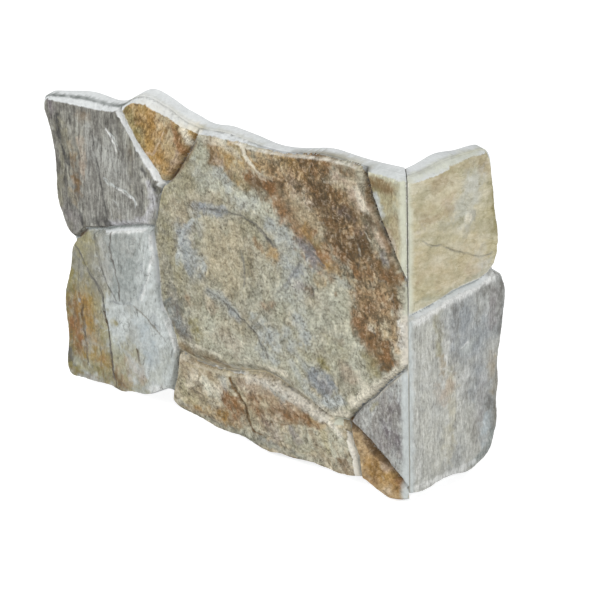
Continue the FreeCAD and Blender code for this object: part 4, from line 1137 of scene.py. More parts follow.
# the rim's crease gets painted shade, tinted olive and brown where specks lie in it:
# pigment, share, then the spots of the path beside the line that it colours
CREASES = {}
CREASES["long_slab"] = [
    ("grout", 0.95, 480, 152, 400, 150, 345, 152), ("dove", 0.5, 345, 158, 300, 166, 262, 158),
    ("moss", 0.35, 250, 156, 190, 152), ("peat", 0.6, 132, 153, 88, 154),
    ("clay", 0.4, 80, 153, 56, 152),
]
CREASES["short_slab"] = [
    ("ash", 0.5, 20, 152, 60, 154), ("moss", 0.35, 84, 156, 110, 158),
]
# painted highlights on the crests of lit bevels, in the same form as the creases
HIGHLIGHTS = {}
HIGHLIGHTS["long_slab"] = [
    ("ivory", 0.8, 210, 148, 130, 148, 66, 146), ("flesh", 0.25, 60, 130, 46, 104, 28, 74),
    ("dove", 0.3, 484, 136, 474, 108), ("dove", 0.3, 470, 60, 462, 20),
    ("cream", 0.3, 300, -72, 220, -68, 150, -76, 106, -90),
    ("cream", 0.5, 300, -92, 200, -94, 110, -108), ("cream", 0.5, 66, -76, 30, -48, 8, -30),
    ("pearl", 0.5, 392, 18, 345, 27), ("pearl", 0.55, 328, 20, 320, -40, 304, -80),
    ("chalk", 0.6, 366, 148, 350, 128, 320, 92),
]
HIGHLIGHTS["short_slab"] = [
    ("pearl", 0.6, 0, 18, 60, 24, 126, 32), ("dove", 0.3, 118, 140, 122, 60),
    ("pearl", 0.4, 10, -148, 60, -150, 90, -150), ("dove", 0.35, 132, 10, 126, -100),
]
# from which height to which the worn strip has which pigment
WORN = {
    "long_slab": [(22, 170, "linen"), (-30, 22, "shell"), (-170, -30, "mist")],
    "short_slab": [(24, 170, "linen"), (-30, 24, "mist"), (-170, -30, "mist")],
}
WORN_WIDTH = {"long_slab": 10.5, "short_slab": 7.0}
ARRIS = 3.04    # where the worn corner strip ends at the mitre, on the drawing
print("bare edges", sum(map(len, BARE_EDGES.values())), "creases", sum(map(len, CREASES.values())))

# %% [markdown]
# Where a stain is made of loose flecks, the flecks are drawn by noise inside a stroke:
# pigment, half width, share, size of the flecks, then the spots of the path.

# %% Flecks
BROWN_ZONE = [150, 138, 112, 124, 84, 98, 58, 66, 34, 10]
FLECKS = {}
FLECKS["boulder"] = [
    ("fawn", 27, 0.55, 3.6, *BROWN_ZONE), ("bark", 22, 0.75, 3.2, *BROWN_ZONE),
    ("rust", 25, 0.35, 6, *BROWN_ZONE), ("umber", 13, 0.36, 3.5, 230, 124, 180, 122, 150, 124),
    ("sand", 10, 0.4, 4, 236, 130, 200, 126),
]
FLECKS["sill"] = [
    ("umber", 12, 0.5, 3.4, 245, -124, 190, -112, 130, -108),
    ("beige", 14, 0.4, 4, 290, -130, 100, -128),
]
FLECKS["bluestone"] = [
    ("umber", 16, 0.45, 3.6, 452, -60, 440, -130, 390, -130),
    ("sage", 18, 0.4, 5, 450, -60, 430, -130),
]
FLECKS["slate"] = [
    ("coal", 14, 0.35, 3, 450, 130, 446, 30),
]

# %% Bedding coordinates and colours
STONE_SHIFT = 113.0    # keeps the stones' places in the noise apart
# how far noise bends a stroke's outline in millimetres, and how ragged it gets
WASH_BEND, TRIM_BEND, BODY_BEND = (7.0, 0.4), (1.2, 0.35), (1.0, 0.2)


def bedding(a, z, depth, stone):
    """Each stone's own coordinates: across its streaks, along them (shortened), depth."""
    placed = np.stack([a, z, depth], 1)
    for name, (node, spot, turn, stretch) in STONES.items():
        mine = stone == NUMBER[name]
        cos, sin = math.cos(math.radians(turn)), math.sin(math.radians(turn))
        across = a[mine] * cos + z[mine] * sin
        along = (z[mine] * cos - a[mine] * sin) / stretch
        shift = STONE_SHIFT * NUMBER[name]
        placed[mine] = np.stack([across + shift, along + shift, depth[mine]], 1)
    return placed


def lay(colour, cover, pigment):
    """Mixes a pigment over the colours, as far as it covers them."""
    return colour + (PIGMENT[pigment] - colour) * cover[:, None]


def lay_strokes(colour, a, z, rows, seed, bend=4.0, ragged=0.5):
    """Lays stains, painted shade and painted highlights as strokes whose outline is bent by noise.
    """
    bent_a = a + bend * (cloud(a, z, 15, seed) + 0.4 * noise(a, z, 3.4, seed + 5))
    bent_z = z + bend * (cloud(a, z, 14, seed + 9) + 0.4 * noise(a, z, 3.1, seed + 6))
    fray = ragged * (cloud(a, z, 8, seed + 11) + 0.8 * noise(a, z, 3.3, seed + 12))
    patchy = ragged * 1.3 * cloud(a, z, 7, seed + 13)
    for pigment, half, strength, *path in rows:
        gap = to_stroke(bent_a, bent_z, path) / half + fray
        cover = 1.2 * strength * ramp(-gap, -1.6, -0.3) * np.clip(0.9 + patchy, 0, 1.2)
        colour = lay(colour, np.clip(cover, 0, 1), pigment)
    return colour


def lay_along(colour, a, z, rows, line, reach, patchy):
    """Lays a pigment on a line of the slab, where the line runs near a row's path."""
    most = np.zeros(len(a))
    for pigment, share, *path in rows:
        cover = share * line * ramp(-to_stroke(a, z, path), *reach) * patchy
        colour = lay(colour, np.clip(cover, 0, 1), pigment)
        most = np.maximum(most, cover)
    return colour, most


def stone_colours(a, z, bed, stone):
    """Ground, mottles, washes, stains, flecks and trims of every stone; some stains and trims are
    painted highlights and painted shade.
    """
    top = np.tile(PIGMENT["body"], (len(a), 1))
    for name, (ground, mottles) in GROUNDS.items():
        mine = np.flatnonzero(stone == NUMBER[name])
        if not len(mine):
            continue
        own_a, own_z = a[mine], z[mine]
        across, along = bed[mine, 0], bed[mine, 1]
        colour = np.tile(PIGMENT[ground], (len(mine), 1))
        for number, (pigment, size, share) in enumerate(mottles):
            cover = share * ramp(cloud(across, along, size, 71 + 7 * number), -0.35, 0.65)
            colour = lay(colour, cover, pigment)
        colour = lay_strokes(colour, own_a, own_z, WASHES[name], 120 + NUMBER[name], *WASH_BEND)
        colour = lay_strokes(colour, own_a, own_z, STAINS_AND_HIGHLIGHTS[name], 20 + NUMBER[name])
        for pigment, half, share, size, *path in FLECKS.get(name, []):
            zone = ramp(-to_stroke(own_a, own_z, path) / half, -1.2, -0.6)
            fleck = ramp(cloud(across, along, size, 171 + half), 0.0, 0.6)
            colour = lay(colour, share * zone * fleck, pigment)
        top[mine] = lay_strokes(colour, own_a, own_z, TRIMS[name], 220 + NUMBER[name], *TRIM_BEND)
    return top


def joint_share(leg):
    """1 on the floor of the joints between two stones, 0 on the slab's outer edge."""
    points = surfaces[leg.node][0]
    stone, inside, front, facing = looked_up[leg.node]
    bare = np.flatnonzero((stone == 0) & front)
    gaps = []
    for number in np.unique(stone[stone > 0]):
        near = search_tree(points[stone == number])
        gaps.append([near.find((points[k][0], points[k][1], 0))[2] for k in bare])
    second = np.sort(np.array(gaps), 0)[1]
    share = np.zeros(len(points))
    share[bare] = 1 - ramp(second, 4.0, 9.0)
    return share


def worn_share(leg, a, z):
    """How worn each point is: 1 on the strip beside the corner, whose width changes."""
    narrower = (5.0 * ramp(z, 20, 30) * (1 - ramp(z, 56, 64))
                + 2.5 * ramp(z, -34, -28) * (1 - ramp(z, 20, 30)))
    wide = WORN_WIDTH[leg.node] - leg.toward_left * narrower
    return 0.95 * (1 - ramp(a + 1.5 * cloud(a, z, 9, 93), wide - 3.5, wide + 3.0))


def body_colours(leg, a, z, depth):
    """The bare body: faint mist, painted shade in the joints, stains with painted highlights, and
    painted shade in the rim's crease.
    """
    body = np.tile(PIGMENT["body"], (len(a), 1))
    body = lay(body, 0.25 * ramp(cloud(a, z, 20, 91), -0.2, 0.8), "mist")
    seen = ramp(depth, FLOOR - 3.0, FLOOR - 1.5)
    # painted shade: the floors of the joints between stones are darkened to grey
    joint = joint_share(leg) * ramp(a, 8.0, 13.0) * (1 - ramp(z, 146.0, 151.0) * (a < 200))
    painted_joint_shade = lay(body, 0.8 * joint, "grout")
    # the body's stains, with painted shade along the joints and painted highlights on lit bevels
    stains_and_painted_light = lay_strokes(painted_joint_shade, a, z, BODY_STAINS_SHADE_AND_HIGHLIGHTS[leg.node], 31, *BODY_BEND)
    grit = 0.22 * cloud(a, z, 3.0, 33) * ramp(np.abs(stains_and_painted_light - body).sum(1), 0.2, 0.8)
    body += seen[:, None] * (stains_and_painted_light * (1 + grit[:, None]) - body)
    # painted shade in the crease along the top rim, tinted by the specks that lie in it
    rim = ramp(-np.abs(depth - FLOOR), -1.2, -0.3) * (z > 125)
    patchy = 0.8 + 0.3 * noise(a, z, 4, 95)
    return lay_along(body, a, z, CREASES[leg.node], rim, (-16, -10), patchy)[0]


def paint(leg):
    """Stone colour, body colour, bedding and calm of every point of a slab.

    Calm says how far the grain is toned down; below zero it makes the grain livelier."""
    a, z, depth = surfaces[leg.node][0].T
    stone, inside = looked_up[leg.node][:2]
    bed = bedding(a, z, depth, stone)
    top = stone_colours(a, z, bed, stone)
    crest = ramp(-np.abs(inside + 0.4), -1.8, -0.4)
    patchy = 0.75 + 0.4 * noise(a, z, 5, 96)
    # painted highlights on the crests of the bevels that face the light
    top, painted_highlight = lay_along(top, a, z, HIGHLIGHTS[leg.node], crest, (-9, -6), patchy)
    worn = worn_share(leg, a, z)
    for low, high, pigment in WORN[leg.node]:
        within = ramp(z, low - 3, low + 3) * (1 - ramp(z, high - 3, high + 3))
        top = lay(top, worn * within, pigment)
    arris = 0.6 * (1 - ramp(a, ARRIS, ARRIS + 1.6)) * ramp(z, 20, 60)
    top = lay(top, arris, "ash")
    # the grain is calmer on the painted highlights and on the worn strip
    calm = np.maximum(0.7 * painted_highlight, 0.85 * worn)
    lively = 0.4 * (stone == NUMBER["boulder"]) * ramp(-to_stroke(a, z, BROWN_ZONE), -34, -20)
    return top, body_colours(leg, a, z, depth), bed, np.where(calm > 0.05, calm, -lively)


def reach_of_print(leg):
    """How far past its crest each stone's print reaches: over the bevel, or not at all."""
    a, z, depth = surfaces[leg.node][0].T
    bent_a, bent_z = a + 1.5 * cloud(a, z, 12, 97), z + 1.5 * cloud(a, z, 12, 98)
    reach = np.full(len(a), REACH)
    for half, share, *path in BARE_EDGES[leg.node]:
        cover = share * ramp(-to_stroke(bent_a, bent_z, path) / half, -1.3, -0.8)
        reach = np.minimum(reach, REACH * (1 - cover))
    return reach


painted = {leg.node: paint(leg) for leg in LEGS}
for node, (top, body, bed, calm) in painted.items():
    print(node, "mean colour", top.mean(0).round(3))

# %% [markdown]
# ## From arrays to meshes
#
# The points and triangles become a mesh whose attributes carry everything that the
# relief and the shaders read: bedding, colours, nearness to cracks and veins, how far
# inside the top a point lies, and how freely it may move. Back and mitre don't move,
# because they are glued.

# %% Build the smooth slabs
def add(name, data):
    """Puts a new object with this data into the scene."""
    made = bpy.data.objects.new(name, data)
    bpy.context.scene.collection.objects.link(made)
    return made


def give(mesh, name, kind, values, domain="POINT"):
    """Stores one value per point or face as a named attribute."""
    attribute = mesh.attributes.new(name, kind, domain)
    field = {"FLOAT_VECTOR": "vector", "FLOAT_COLOR": "color"}.get(kind, "value")
    if kind == "FLOAT_COLOR":
        values = np.concatenate([values, np.ones((len(values), 1))], 1)
    attribute.data.foreach_set(field, np.ascontiguousarray(values).ravel())


def looseness(points, stone, inside, front):
    """How freely a point moves: fully on a stone's top, less on bevels, not at the back."""
    depth = points[:, 2]
    loose = np.where(stone > 0, 0.25 + 0.3 * ramp(depth, FLOOR, SLAB), 0.16 * ramp(depth, 0.5, 6.0))
    loose = np.where(inside > 0, np.maximum(loose, 0.55 + 0.45 * ramp(inside, 0.0, 3.0)), loose)
    seam = ramp(points[:, 0], ARRIS, ARRIS + 3.5)
    return loose * front * (0.2 + 0.8 * seam)


def smooth_slab(leg):
    """The fine slab as a mesh object, with its attributes, before any roughness."""
    points, triangles, owner = surfaces[leg.node]
    stone, inside, front, facing = looked_up[leg.node]
    top, body, bed, calm = painted[leg.node]
    used, renumbered = np.unique(triangles, return_inverse=True)
    points, stone, inside, front = points[used], stone[used], inside[used], front[used]
    a, z, depth = points.T
    mesh = bpy.data.meshes.new(leg.node + "_stone")
    mesh.from_pydata(leg.part(points).tolist(), [], renumbered.reshape(-1, 3).tolist())
    crack, crack_share = nearness(a, z, stone, CRACKS)
    vein, vein_share = nearness(a, z, stone, VEINS)
    groove = -0.75 * crack_share * ramp(-crack, -1.6, 0.6)
    plates = plate_heights(a, z, stone) * ramp(inside, -0.5, 3.0)
    carved = (plates + groove) * ramp(a, ARRIS, ARRIS + 4.0) / 1000
    reached = np.where(stone > 0, inside + reach_of_print(leg)[used], FAR_OUT)
    give(mesh, "bedding", "FLOAT_VECTOR", bed[used])
    give(mesh, "drawing", "FLOAT_VECTOR", points)
    give(mesh, "top_colour", "FLOAT_COLOR", top[used])
    give(mesh, "body_colour", "FLOAT_COLOR", body[used])
    plain = {"inside": reached, "crack": crack, "crack_share": crack_share, "vein": vein,
             "vein_share": vein_share, "carved": carved, "calm": calm[used],
             "loose": looseness(points, stone, inside, front)}
    for name, values in plain.items():
        give(mesh, name, "FLOAT", values)
    give(mesh, "stone", "INT", facing, "FACE")
    return add(leg.node + "_stone", mesh)


rough = {leg.node: smooth_slab(leg) for leg in LEGS}
for node, piece in rough.items():
    print(piece.name, "triangles", len(piece.data.polygons))

# %% [markdown]
# ## Shared shader groups
#
# The same effects return in every stone: mineral grain, streaks along the bedding,
# a ragged edge where the glaze stops, and thin lines. Each is a node group with named
# inputs, placed in each material with that stone's values.

# %% Helpers for node trees
def join(tree, value, socket):
    """Links a socket to another, or sets it when the value is a plain one."""
    if isinstance(value, bpy.types.NodeSocket):
        tree.links.new(value, socket)
    else:
        socket.default_value = value


def put(tree, kind, inputs=None, **settings):
    """Adds a node, sets its options, and joins or sets its inputs."""
    made = tree.nodes.new(kind)
    for name, value in settings.items():
        setattr(made, name, value)
    for name, value in (inputs or {}).items():
        join(tree, value, made.inputs[name])
    return made


def maths(tree, operation, *values, clamp=False):
    """A maths node on sockets or numbers."""
    inputs = dict(enumerate(values))
    return put(tree, "ShaderNodeMath", inputs, operation=operation, use_clamp=clamp).outputs[0]


def plus(tree, first, second, clamp=False):
    return maths(tree, "ADD", first, second, clamp=clamp)


def minus(tree, first, second):
    return maths(tree, "SUBTRACT", first, second)


def times(tree, first, second, clamp=False):
    return maths(tree, "MULTIPLY", first, second, clamp=clamp)


def about(tree, value, share):
    """A noise from 0 to 1, shifted to swing about 0, times a share."""
    return times(tree, minus(tree, value, 0.5), share)


def scaled(tree, vector, share):
    inputs = {0: vector, "Scale": share}
    return put(tree, "ShaderNodeVectorMath", inputs, operation="SCALE").outputs[0]


def stepped(tree, value, low, high):
    """0 below low, 1 above high, and a smooth way between."""
    made = put(tree, "ShaderNodeMapRange", {"Value": value, "From Min": low, "From Max": high},
               interpolation_type="SMOOTHSTEP")
    return made.outputs["Result"]


def new_group(name, kind, inputs, outputs):
    """An empty node group. An input is given as its number or, without one, as its kind."""
    tree = bpy.data.node_groups.new(name, kind)
    for label, value in inputs.items():
        number = isinstance(value, float)
        socket = "NodeSocketFloat" if number else "NodeSocket" + value
        made = tree.interface.new_socket(label, in_out="INPUT", socket_type=socket)
        if number:
            made.default_value = value
    for label, socket in outputs.items():
        tree.interface.new_socket(label, in_out="OUTPUT", socket_type="NodeSocket" + socket)
    return tree, tree.nodes.new("NodeGroupInput").outputs, tree.nodes.new("NodeGroupOutput").inputs


def noise_node(tree, vector, detail=3.0, roughness=0.55, distortion=0.0):
    inputs = {"Vector": vector, "Scale": 1.0, "Detail": detail, "Roughness": roughness,
              "Distortion": distortion}
    return put(tree, "ShaderNodeTexNoise", inputs).outputs[0]


# %% Mineral grain
def build_grain():
    """Grain, clumps, streaks, dark pits and hairlines, as a tone about 1 and a height."""
    tree, given, out = new_group("mineral_grain", "ShaderNodeTree", {
        "Place": "Vector", "Bedding": "Vector", "Grain Size": 3.0, "Grain Contrast": 0.2,
        "Streak Size": 5.0, "Streak Contrast": 0.2, "Pit Contrast": 0.2, "Hairline Contrast": 0.2,
    }, {"Tone": "Float", "Height": "Float"})
    place, bed = given["Place"], given["Bedding"]
    fine = scaled(tree, place, maths(tree, "DIVIDE", 1.0, given["Grain Size"]))
    grain = noise_node(tree, fine, 5.0, 0.7)
    clump = noise_node(tree, scaled(tree, fine, 0.3), 3.0, 0.6, 0.4)
    drawn = scaled(tree, bed, maths(tree, "DIVIDE", 1.0, given["Streak Size"]))
    streak = noise_node(tree, drawn, 5.0, 0.68, 0.3)
    pit = stepped(tree, noise_node(tree, scaled(tree, bed, 0.5), 3.0, 0.6), 0.44, 0.34)
    hair = 0.0
    for size, wide, share in ((0.075, 0.022, 1.0), (0.2, 0.035, 0.6)):
        line = noise_node(tree, scaled(tree, bed, size), 3.0, 0.55, 0.8)
        off = maths(tree, "ABSOLUTE", minus(tree, line, 0.5))
        patch = noise_node(tree, scaled(tree, place, size * 0.7), 2.0)
        dark = times(tree, stepped(tree, off, wide, 0.004), stepped(tree, patch, 0.4, 0.58))
        hair = maths(tree, "MAXIMUM", hair, times(tree, dark, share))
    tone = plus(tree, about(tree, grain, given["Grain Contrast"]),
                times(tree, about(tree, clump, given["Grain Contrast"]), 0.8))
    tone = plus(tree, tone, about(tree, streak, given["Streak Contrast"]))
    tone = minus(tree, tone, times(tree, pit, given["Pit Contrast"]))
    tone = minus(tree, tone, times(tree, hair, given["Hairline Contrast"]))
    join(tree, plus(tree, tone, 1.0), out["Tone"])
    height = plus(tree, times(tree, grain, 0.5), times(tree, streak, 0.6))
    height = minus(tree, height, times(tree, pit, 0.25))
    join(tree, minus(tree, height, times(tree, hair, 0.3)), out["Height"])
    return tree


grain_group = build_grain()
print(grain_group.name, len(grain_group.nodes), "nodes")


# %% Ragged edge and thin lines
def build_edge():
    """1 where the glaze lies, 0 past its ragged edge."""
    tree, given, out = new_group("ragged_edge", "ShaderNodeTree", {
        "Inside": 0.0, "Place": "Vector", "Ragged": 2.0, "Shift": 0.0}, {"Mask": "Float"})
    wide = noise_node(tree, scaled(tree, given["Place"], 0.16), 4.0, 0.7)
    swing = about(tree, wide, given["Ragged"])
    reach = plus(tree, plus(tree, given["Inside"], given["Shift"]), swing)
    join(tree, stepped(tree, reach, -0.5, 0.9), out["Mask"])
    return tree


def build_line():
    """1 on a crack or a vein, fading beside it, rubbed by noise."""
    tree, given, out = new_group("thin_line", "ShaderNodeTree", {
        "Near": NEAR_LIMIT, "Share": 0.0, "Place": "Vector", "Softness": 1.0}, {"Mask": "Float"})
    rub = noise_node(tree, scaled(tree, given["Place"], 0.45), 3.0, 0.6)
    gap = plus(tree, given["Near"], about(tree, rub, 2.2))
    below = times(tree, given["Softness"], -1.0)
    line = minus(tree, 1.0, stepped(tree, gap, below, given["Softness"]))
    join(tree, times(tree, line, given["Share"]), out["Mask"])
    return tree


edge_group, line_group = build_edge(), build_line()
print(edge_group.name, line_group.name)

# %% [markdown]
# ## Stone finishes
#
# One function writes a finish for each stone. Its values are how coarse and how strong
# the grain and the streaks are, how ragged the glaze's edge is, how strong its bumps
# are, and the pigments of its grains, cracks and veins.

# %% Finish values
# grain size and contrast, streak size and contrast, pits, hairlines, ragged edge, bump,
# then the pigments of its dark grains, pale grains, cracks and veins
FINISHES = {
    "slate": (2.6, 1.1, 2.6, 2.2, 0.25, 0.3, 3.0, 0.7, "coal", "dove", "coal", "mist"),
    "ochre": (2.6, 1.5, 3.2, 2.7, 0.25, 0.4, 4.0, 0.7, "umber", "flesh", "umber", "flesh"),
    "boulder": (2.6, 1.7, 3.0, 1.3, 0.15, 0.35, 4.0, 0.8, "peat", "cream", "lead", "cream"),
    "bluestone": (2.4, 0.7, 4.0, 0.8, 0.06, 0.35, 2.5, 0.4, "grout", "pearl", "lead", "mist"),
    "sill": (2.8, 1.8, 3.6, 1.2, 0.2, 0.35, 4.5, 0.9, "peat", "cream", "umber", "dove"),
    "sliver": (2.4, 1.6, 3.4, 1.4, 0.15, 0.3, 4.5, 0.6, "umber", "flesh", "bark", "flesh"),
    "wedge": (2.2, 1.2, 2.4, 2.0, 0.15, 0.2, 3.5, 0.5, "lead", "pearl", "plum", "dove"),
    "quoin": (2.4, 1.0, 2.8, 1.3, 0.1, 0.3, 4.5, 0.4, "umber", "cream", "umber", "cream"),
    "khaki": (2.4, 0.5, 4.0, 0.7, 0.03, 0.2, 3.5, 0.3, "olive", "pearl", "ash", "cream"),
    "granite": (2.0, 0.8, 1.8, 1.5, 0.1, 0.15, 3.5, 0.6, "lead", "pearl", "lead", "pearl"),
}
GRAIN_INPUTS = ("Place", "Bedding", "Grain Size", "Grain Contrast", "Streak Size",
                "Streak Contrast", "Pit Contrast", "Hairline Contrast")
BODY_GRAIN = (3.0, 0.3, 6.0, 0.15, 0.05, 0.05)   # grain to hairlines of the bare body
LINE_SOFTNESS = 0.8    # how far cracks and veins fade, in millimetres
EDGE_SHIFT = 0.3       # how far the glaze's edge is moved out, in millimetres


def read(tree, name, part="Fac"):
    """An attribute of the mesh, as a number, a vector or a colour."""
    return put(tree, "ShaderNodeAttribute", attribute_name=name).outputs[part]


def colour_mix(tree, share, first, second, way="MIX"):
    inputs = {0: share, 6: first, 7: second}
    return put(tree, "ShaderNodeMix", inputs, data_type="RGBA", blend_type=way).outputs[2]


def rgba(name):
    return (*PIGMENT[name], 1.0)


def new_material(name):
    material = bpy.data.materials.new(name)
    material.use_nodes = True
    tree = material.node_tree
    return material, tree, tree.nodes["Principled BSDF"]


def surface(tree, shader, colour, height, bump, reach, roughness, shine=0.3):
    """Gives the shader its colour, its bumps (reach in metres) and how rough it is."""
    bumped = put(tree, "ShaderNodeBump", {"Height": height, "Strength": bump, "Distance": reach})
    for name, value in (("Base Color", colour), ("Normal", bumped.outputs["Normal"]),
                        ("Roughness", roughness), ("Specular IOR Level", shine)):
        join(tree, value, shader.inputs[name])


def grain_of(tree, place, bed, values):
    inputs = dict(zip(GRAIN_INPUTS, (place, bed, *values)))
    made = put(tree, "ShaderNodeGroup", inputs, node_tree=grain_group)
    return made.outputs["Tone"], made.outputs["Height"]


def line_mask(tree, kind, place):
    inputs = {"Near": read(tree, kind), "Share": read(tree, kind + "_share"), "Place": place,
              "Softness": LINE_SOFTNESS}
    return put(tree, "ShaderNodeGroup", inputs, node_tree=line_group).outputs["Mask"]


def body_colour(tree, place, bed):
    """The pale pressed body, with faint dusty grain."""
    tone, height = grain_of(tree, place, bed, BODY_GRAIN)
    return colour_mix(tree, 1.0, read(tree, "body_colour", "Color"), tone, "MULTIPLY"), height


def stone_finish(name, values):
    *grain_values, ragged, bump, deep, pale, crack, vein = values
    material, tree, shader = new_material("finish_" + name)
    place, bed = read(tree, "drawing", "Vector"), read(tree, "bedding", "Vector")
    tone, height = grain_of(tree, place, bed, grain_values)
    ground = read(tree, "top_colour", "Color")
    lively = minus(tree, 1.0, read(tree, "calm"))
    swing = times(tree, minus(tree, tone, 1.0), lively)
    darker, paler = times(tree, swing, -1.6, clamp=True), times(tree, swing, 1.5, clamp=True)
    dark_ground = colour_mix(tree, 1.0, ground, (0.4, 0.38, 0.36, 1.0), "MULTIPLY")
    bright_ground = colour_mix(tree, 1.0, ground, (1.75, 1.75, 1.75, 1.0), "MULTIPLY")
    colour = colour_mix(tree, darker, ground, colour_mix(tree, 0.35, dark_ground, rgba(deep)))
    colour = colour_mix(tree, paler, colour, colour_mix(tree, 0.35, bright_ground, rgba(pale)))
    colour = colour_mix(tree, line_mask(tree, "vein", place), colour, rgba(vein))
    colour = colour_mix(tree, line_mask(tree, "crack", place), colour, rgba(crack))
    inputs = {"Inside": read(tree, "inside"), "Place": place, "Ragged": ragged,
              "Shift": EDGE_SHIFT}
    mask = put(tree, "ShaderNodeGroup", inputs, node_tree=edge_group).outputs["Mask"]
    bare, bare_height = body_colour(tree, place, bed)
    inputs = {0: mask, 2: bare_height, 3: height}
    raised = put(tree, "ShaderNodeMix", inputs, data_type="FLOAT").outputs[0]
    colour = colour_mix(tree, mask, bare, colour)
    surface(tree, shader, colour, raised, bump, reach=0.002, roughness=0.8)
    return material


finishes = {name: stone_finish(name, values) for name, values in FINISHES.items()}
print("finishes", list(finishes))


# %% The body and the adhesive
def body_finish():
    material, tree, shader = new_material("finish_body")
    place, bed = read(tree, "drawing", "Vector"), read(tree, "bedding", "Vector")
    colour, height = body_colour(tree, place, bed)
    surface(tree, shader, colour, height, 0.15, reach=0.001, roughness=0.82)
    return material


def adhesive_finish():
    """Dark adhesive, smeared over with pale body dust where the corner is worn."""
    material, tree, shader = new_material("finish_adhesive")
    place = put(tree, "ShaderNodeTexCoord").outputs["Object"]
    grains = noise_node(tree, scaled(tree, place, 900.0), 3.0, 0.6)
    high = put(tree, "ShaderNodeSeparateXYZ", {0: place}).outputs["Z"]
    high = plus(tree, high, times(tree, grains, 0.012))
    pale = minus(tree, 1.0, stepped(tree, high, 0.186, 0.200))
    block = stepped(tree, high, 0.124, 0.136)
    pale = times(tree, pale, plus(tree, times(tree, block, 0.4), 0.5))
    dark = colour_mix(tree, grains, rgba("coal"), rgba("ash"))
    colour = colour_mix(tree, pale, dark, rgba("dove"))
    surface(tree, shader, colour, grains, 0.3, reach=0.0005, roughness=0.9, shine=0.5)
    return material


finishes["body"] = body_finish()
adhesive = adhesive_finish()
print("all finishes", len(finishes) + 1)

# %% [markdown]
# ## The split relief
#
# Roughness follows a rule: along each stone's bedding run low ridges, over them lies a
# coarse grain, and everything moves out along the slab's own direction, as far as each
# point is loose. That is a task for Geometry Nodes: a tree with named inputs reads the
# attributes, moves the points and hands out the finishes by stone.

# %% Build the relief tree
FULL_SWING = 2.0    # noise less a half swings by a half, so twice that gives a full height
RELIEF_INPUTS = {
    "Geometry": "Geometry", "Out": "Vector", "Ridge Height": 0.0020, "Ridge Size": 8.0,
    "Grit Height": 0.0014, "Grit Size": 5.0, "Swell Height": 0.0022, "Swell Size": 38.0,
    "Edge Wander": 0.0007, "Seed": 1.0,
}


def build_relief():
    tree, given, out = new_group("split_relief", "GeometryNodeTree", RELIEF_INPUTS,
                                 {"Geometry": "Geometry"})

    def named(name, kind="FLOAT"):
        made = put(tree, "GeometryNodeInputNamedAttribute", {"Name": name}, data_type=kind)
        return made.outputs["Attribute"]

    def field(vector, size, seed_shift, detail, share):
        place = scaled(tree, vector, maths(tree, "DIVIDE", 1.0, given[size]))
        moved = put(tree, "ShaderNodeVectorMath", {0: place}, operation="ADD")
        join(tree, plus(tree, given["Seed"], seed_shift), moved.inputs[1])
        return about(tree, noise_node(tree, moved.outputs[0], detail, 0.6), given[share])

    bed, place = named("bedding", "FLOAT_VECTOR"), named("drawing", "FLOAT_VECTOR")
    ridge = field(bed, "Ridge Size", 0.0, 3.0, "Ridge Height")
    grit = field(place, "Grit Size", 11.0, 3.0, "Grit Height")
    swell = field(place, "Swell Size", 23.0, 2.0, "Swell Height")
    height = times(tree, plus(tree, plus(tree, ridge, grit), swell), FULL_SWING)
    height = plus(tree, times(tree, height, named("loose")), named("carved"))
    wander = field(place, "Grit Size", 37.0, 2.0, "Edge Wander")
    rise = times(tree, times(tree, wander, named("loose")), FULL_SWING)
    lift = put(tree, "ShaderNodeCombineXYZ", {"Z": rise}).outputs[0]
    push = scaled(tree, given["Out"], height)
    both = put(tree, "ShaderNodeVectorMath", {0: push, 1: lift}, operation="ADD").outputs[0]
    inputs = {"Geometry": given["Geometry"], "Offset": both}
    shaped = put(tree, "GeometryNodeSetPosition", inputs).outputs["Geometry"]
    for name, material in finishes.items():
        inputs = {2: named("stone", "INT"), 3: NUMBER.get(name, 0)}
        chosen = put(tree, "FunctionNodeCompare", inputs, data_type="INT", operation="EQUAL")
        inputs = {"Geometry": shaped, "Selection": chosen.outputs[0], "Material": material}
        shaped = put(tree, "GeometryNodeSetMaterial", inputs).outputs["Geometry"]
    whole = put(tree, "GeometryNodeRealizeInstances", {"Geometry": shaped})
    join(tree, whole.outputs["Geometry"], out["Geometry"])
    return tree


relief_tree = build_relief()
print(relief_tree.name, len(relief_tree.nodes), "nodes")


# %% Roughen the slabs
CREASED = math.radians(55)   # edges that bend more than this stay sharp


def set_input(modifier, name, value):
    """Sets a modifier's input by its socket's identifier."""
    for item in modifier.node_group.interface.items_tree:
        if item.item_type == "SOCKET" and item.in_out == "INPUT" and item.name == name:
            modifier[item.identifier] = value


def roughen(leg, seed):
    """Runs the relief tree on a slab and keeps the result as a plain mesh."""
    piece = rough[leg.node]
    modifier = piece.modifiers.new("relief", "NODES")
    modifier.node_group = relief_tree
    set_input(modifier, "Out", list(leg.out))
    set_input(modifier, "Seed", float(seed))
    graph = bpy.context.evaluated_depsgraph_get()
    mesh = bpy.data.meshes.new_from_object(piece.evaluated_get(graph), depsgraph=graph)
    piece.modifiers.remove(modifier)
    piece.data = mesh
    mesh.shade_smooth()
    mesh.set_sharp_from_angle(angle=CREASED)
    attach(piece, "root")
    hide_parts(leg.node)
    return piece


for leg, seed in ((long_leg, 4), (short_leg, 9)):
    piece = roughen(leg, seed)
    print(piece.name, "triangles", len(piece.data.polygons), "materials", len(piece.data.materials))

# %% [markdown]
# The adhesive in the mitre is a film one millimetre thick. It was spread by hand, so
# its edge isn't straight: it follows the slabs' own ends a little below their surface,
# lies back from the corner in the upper third and is smeared nearly flush below.

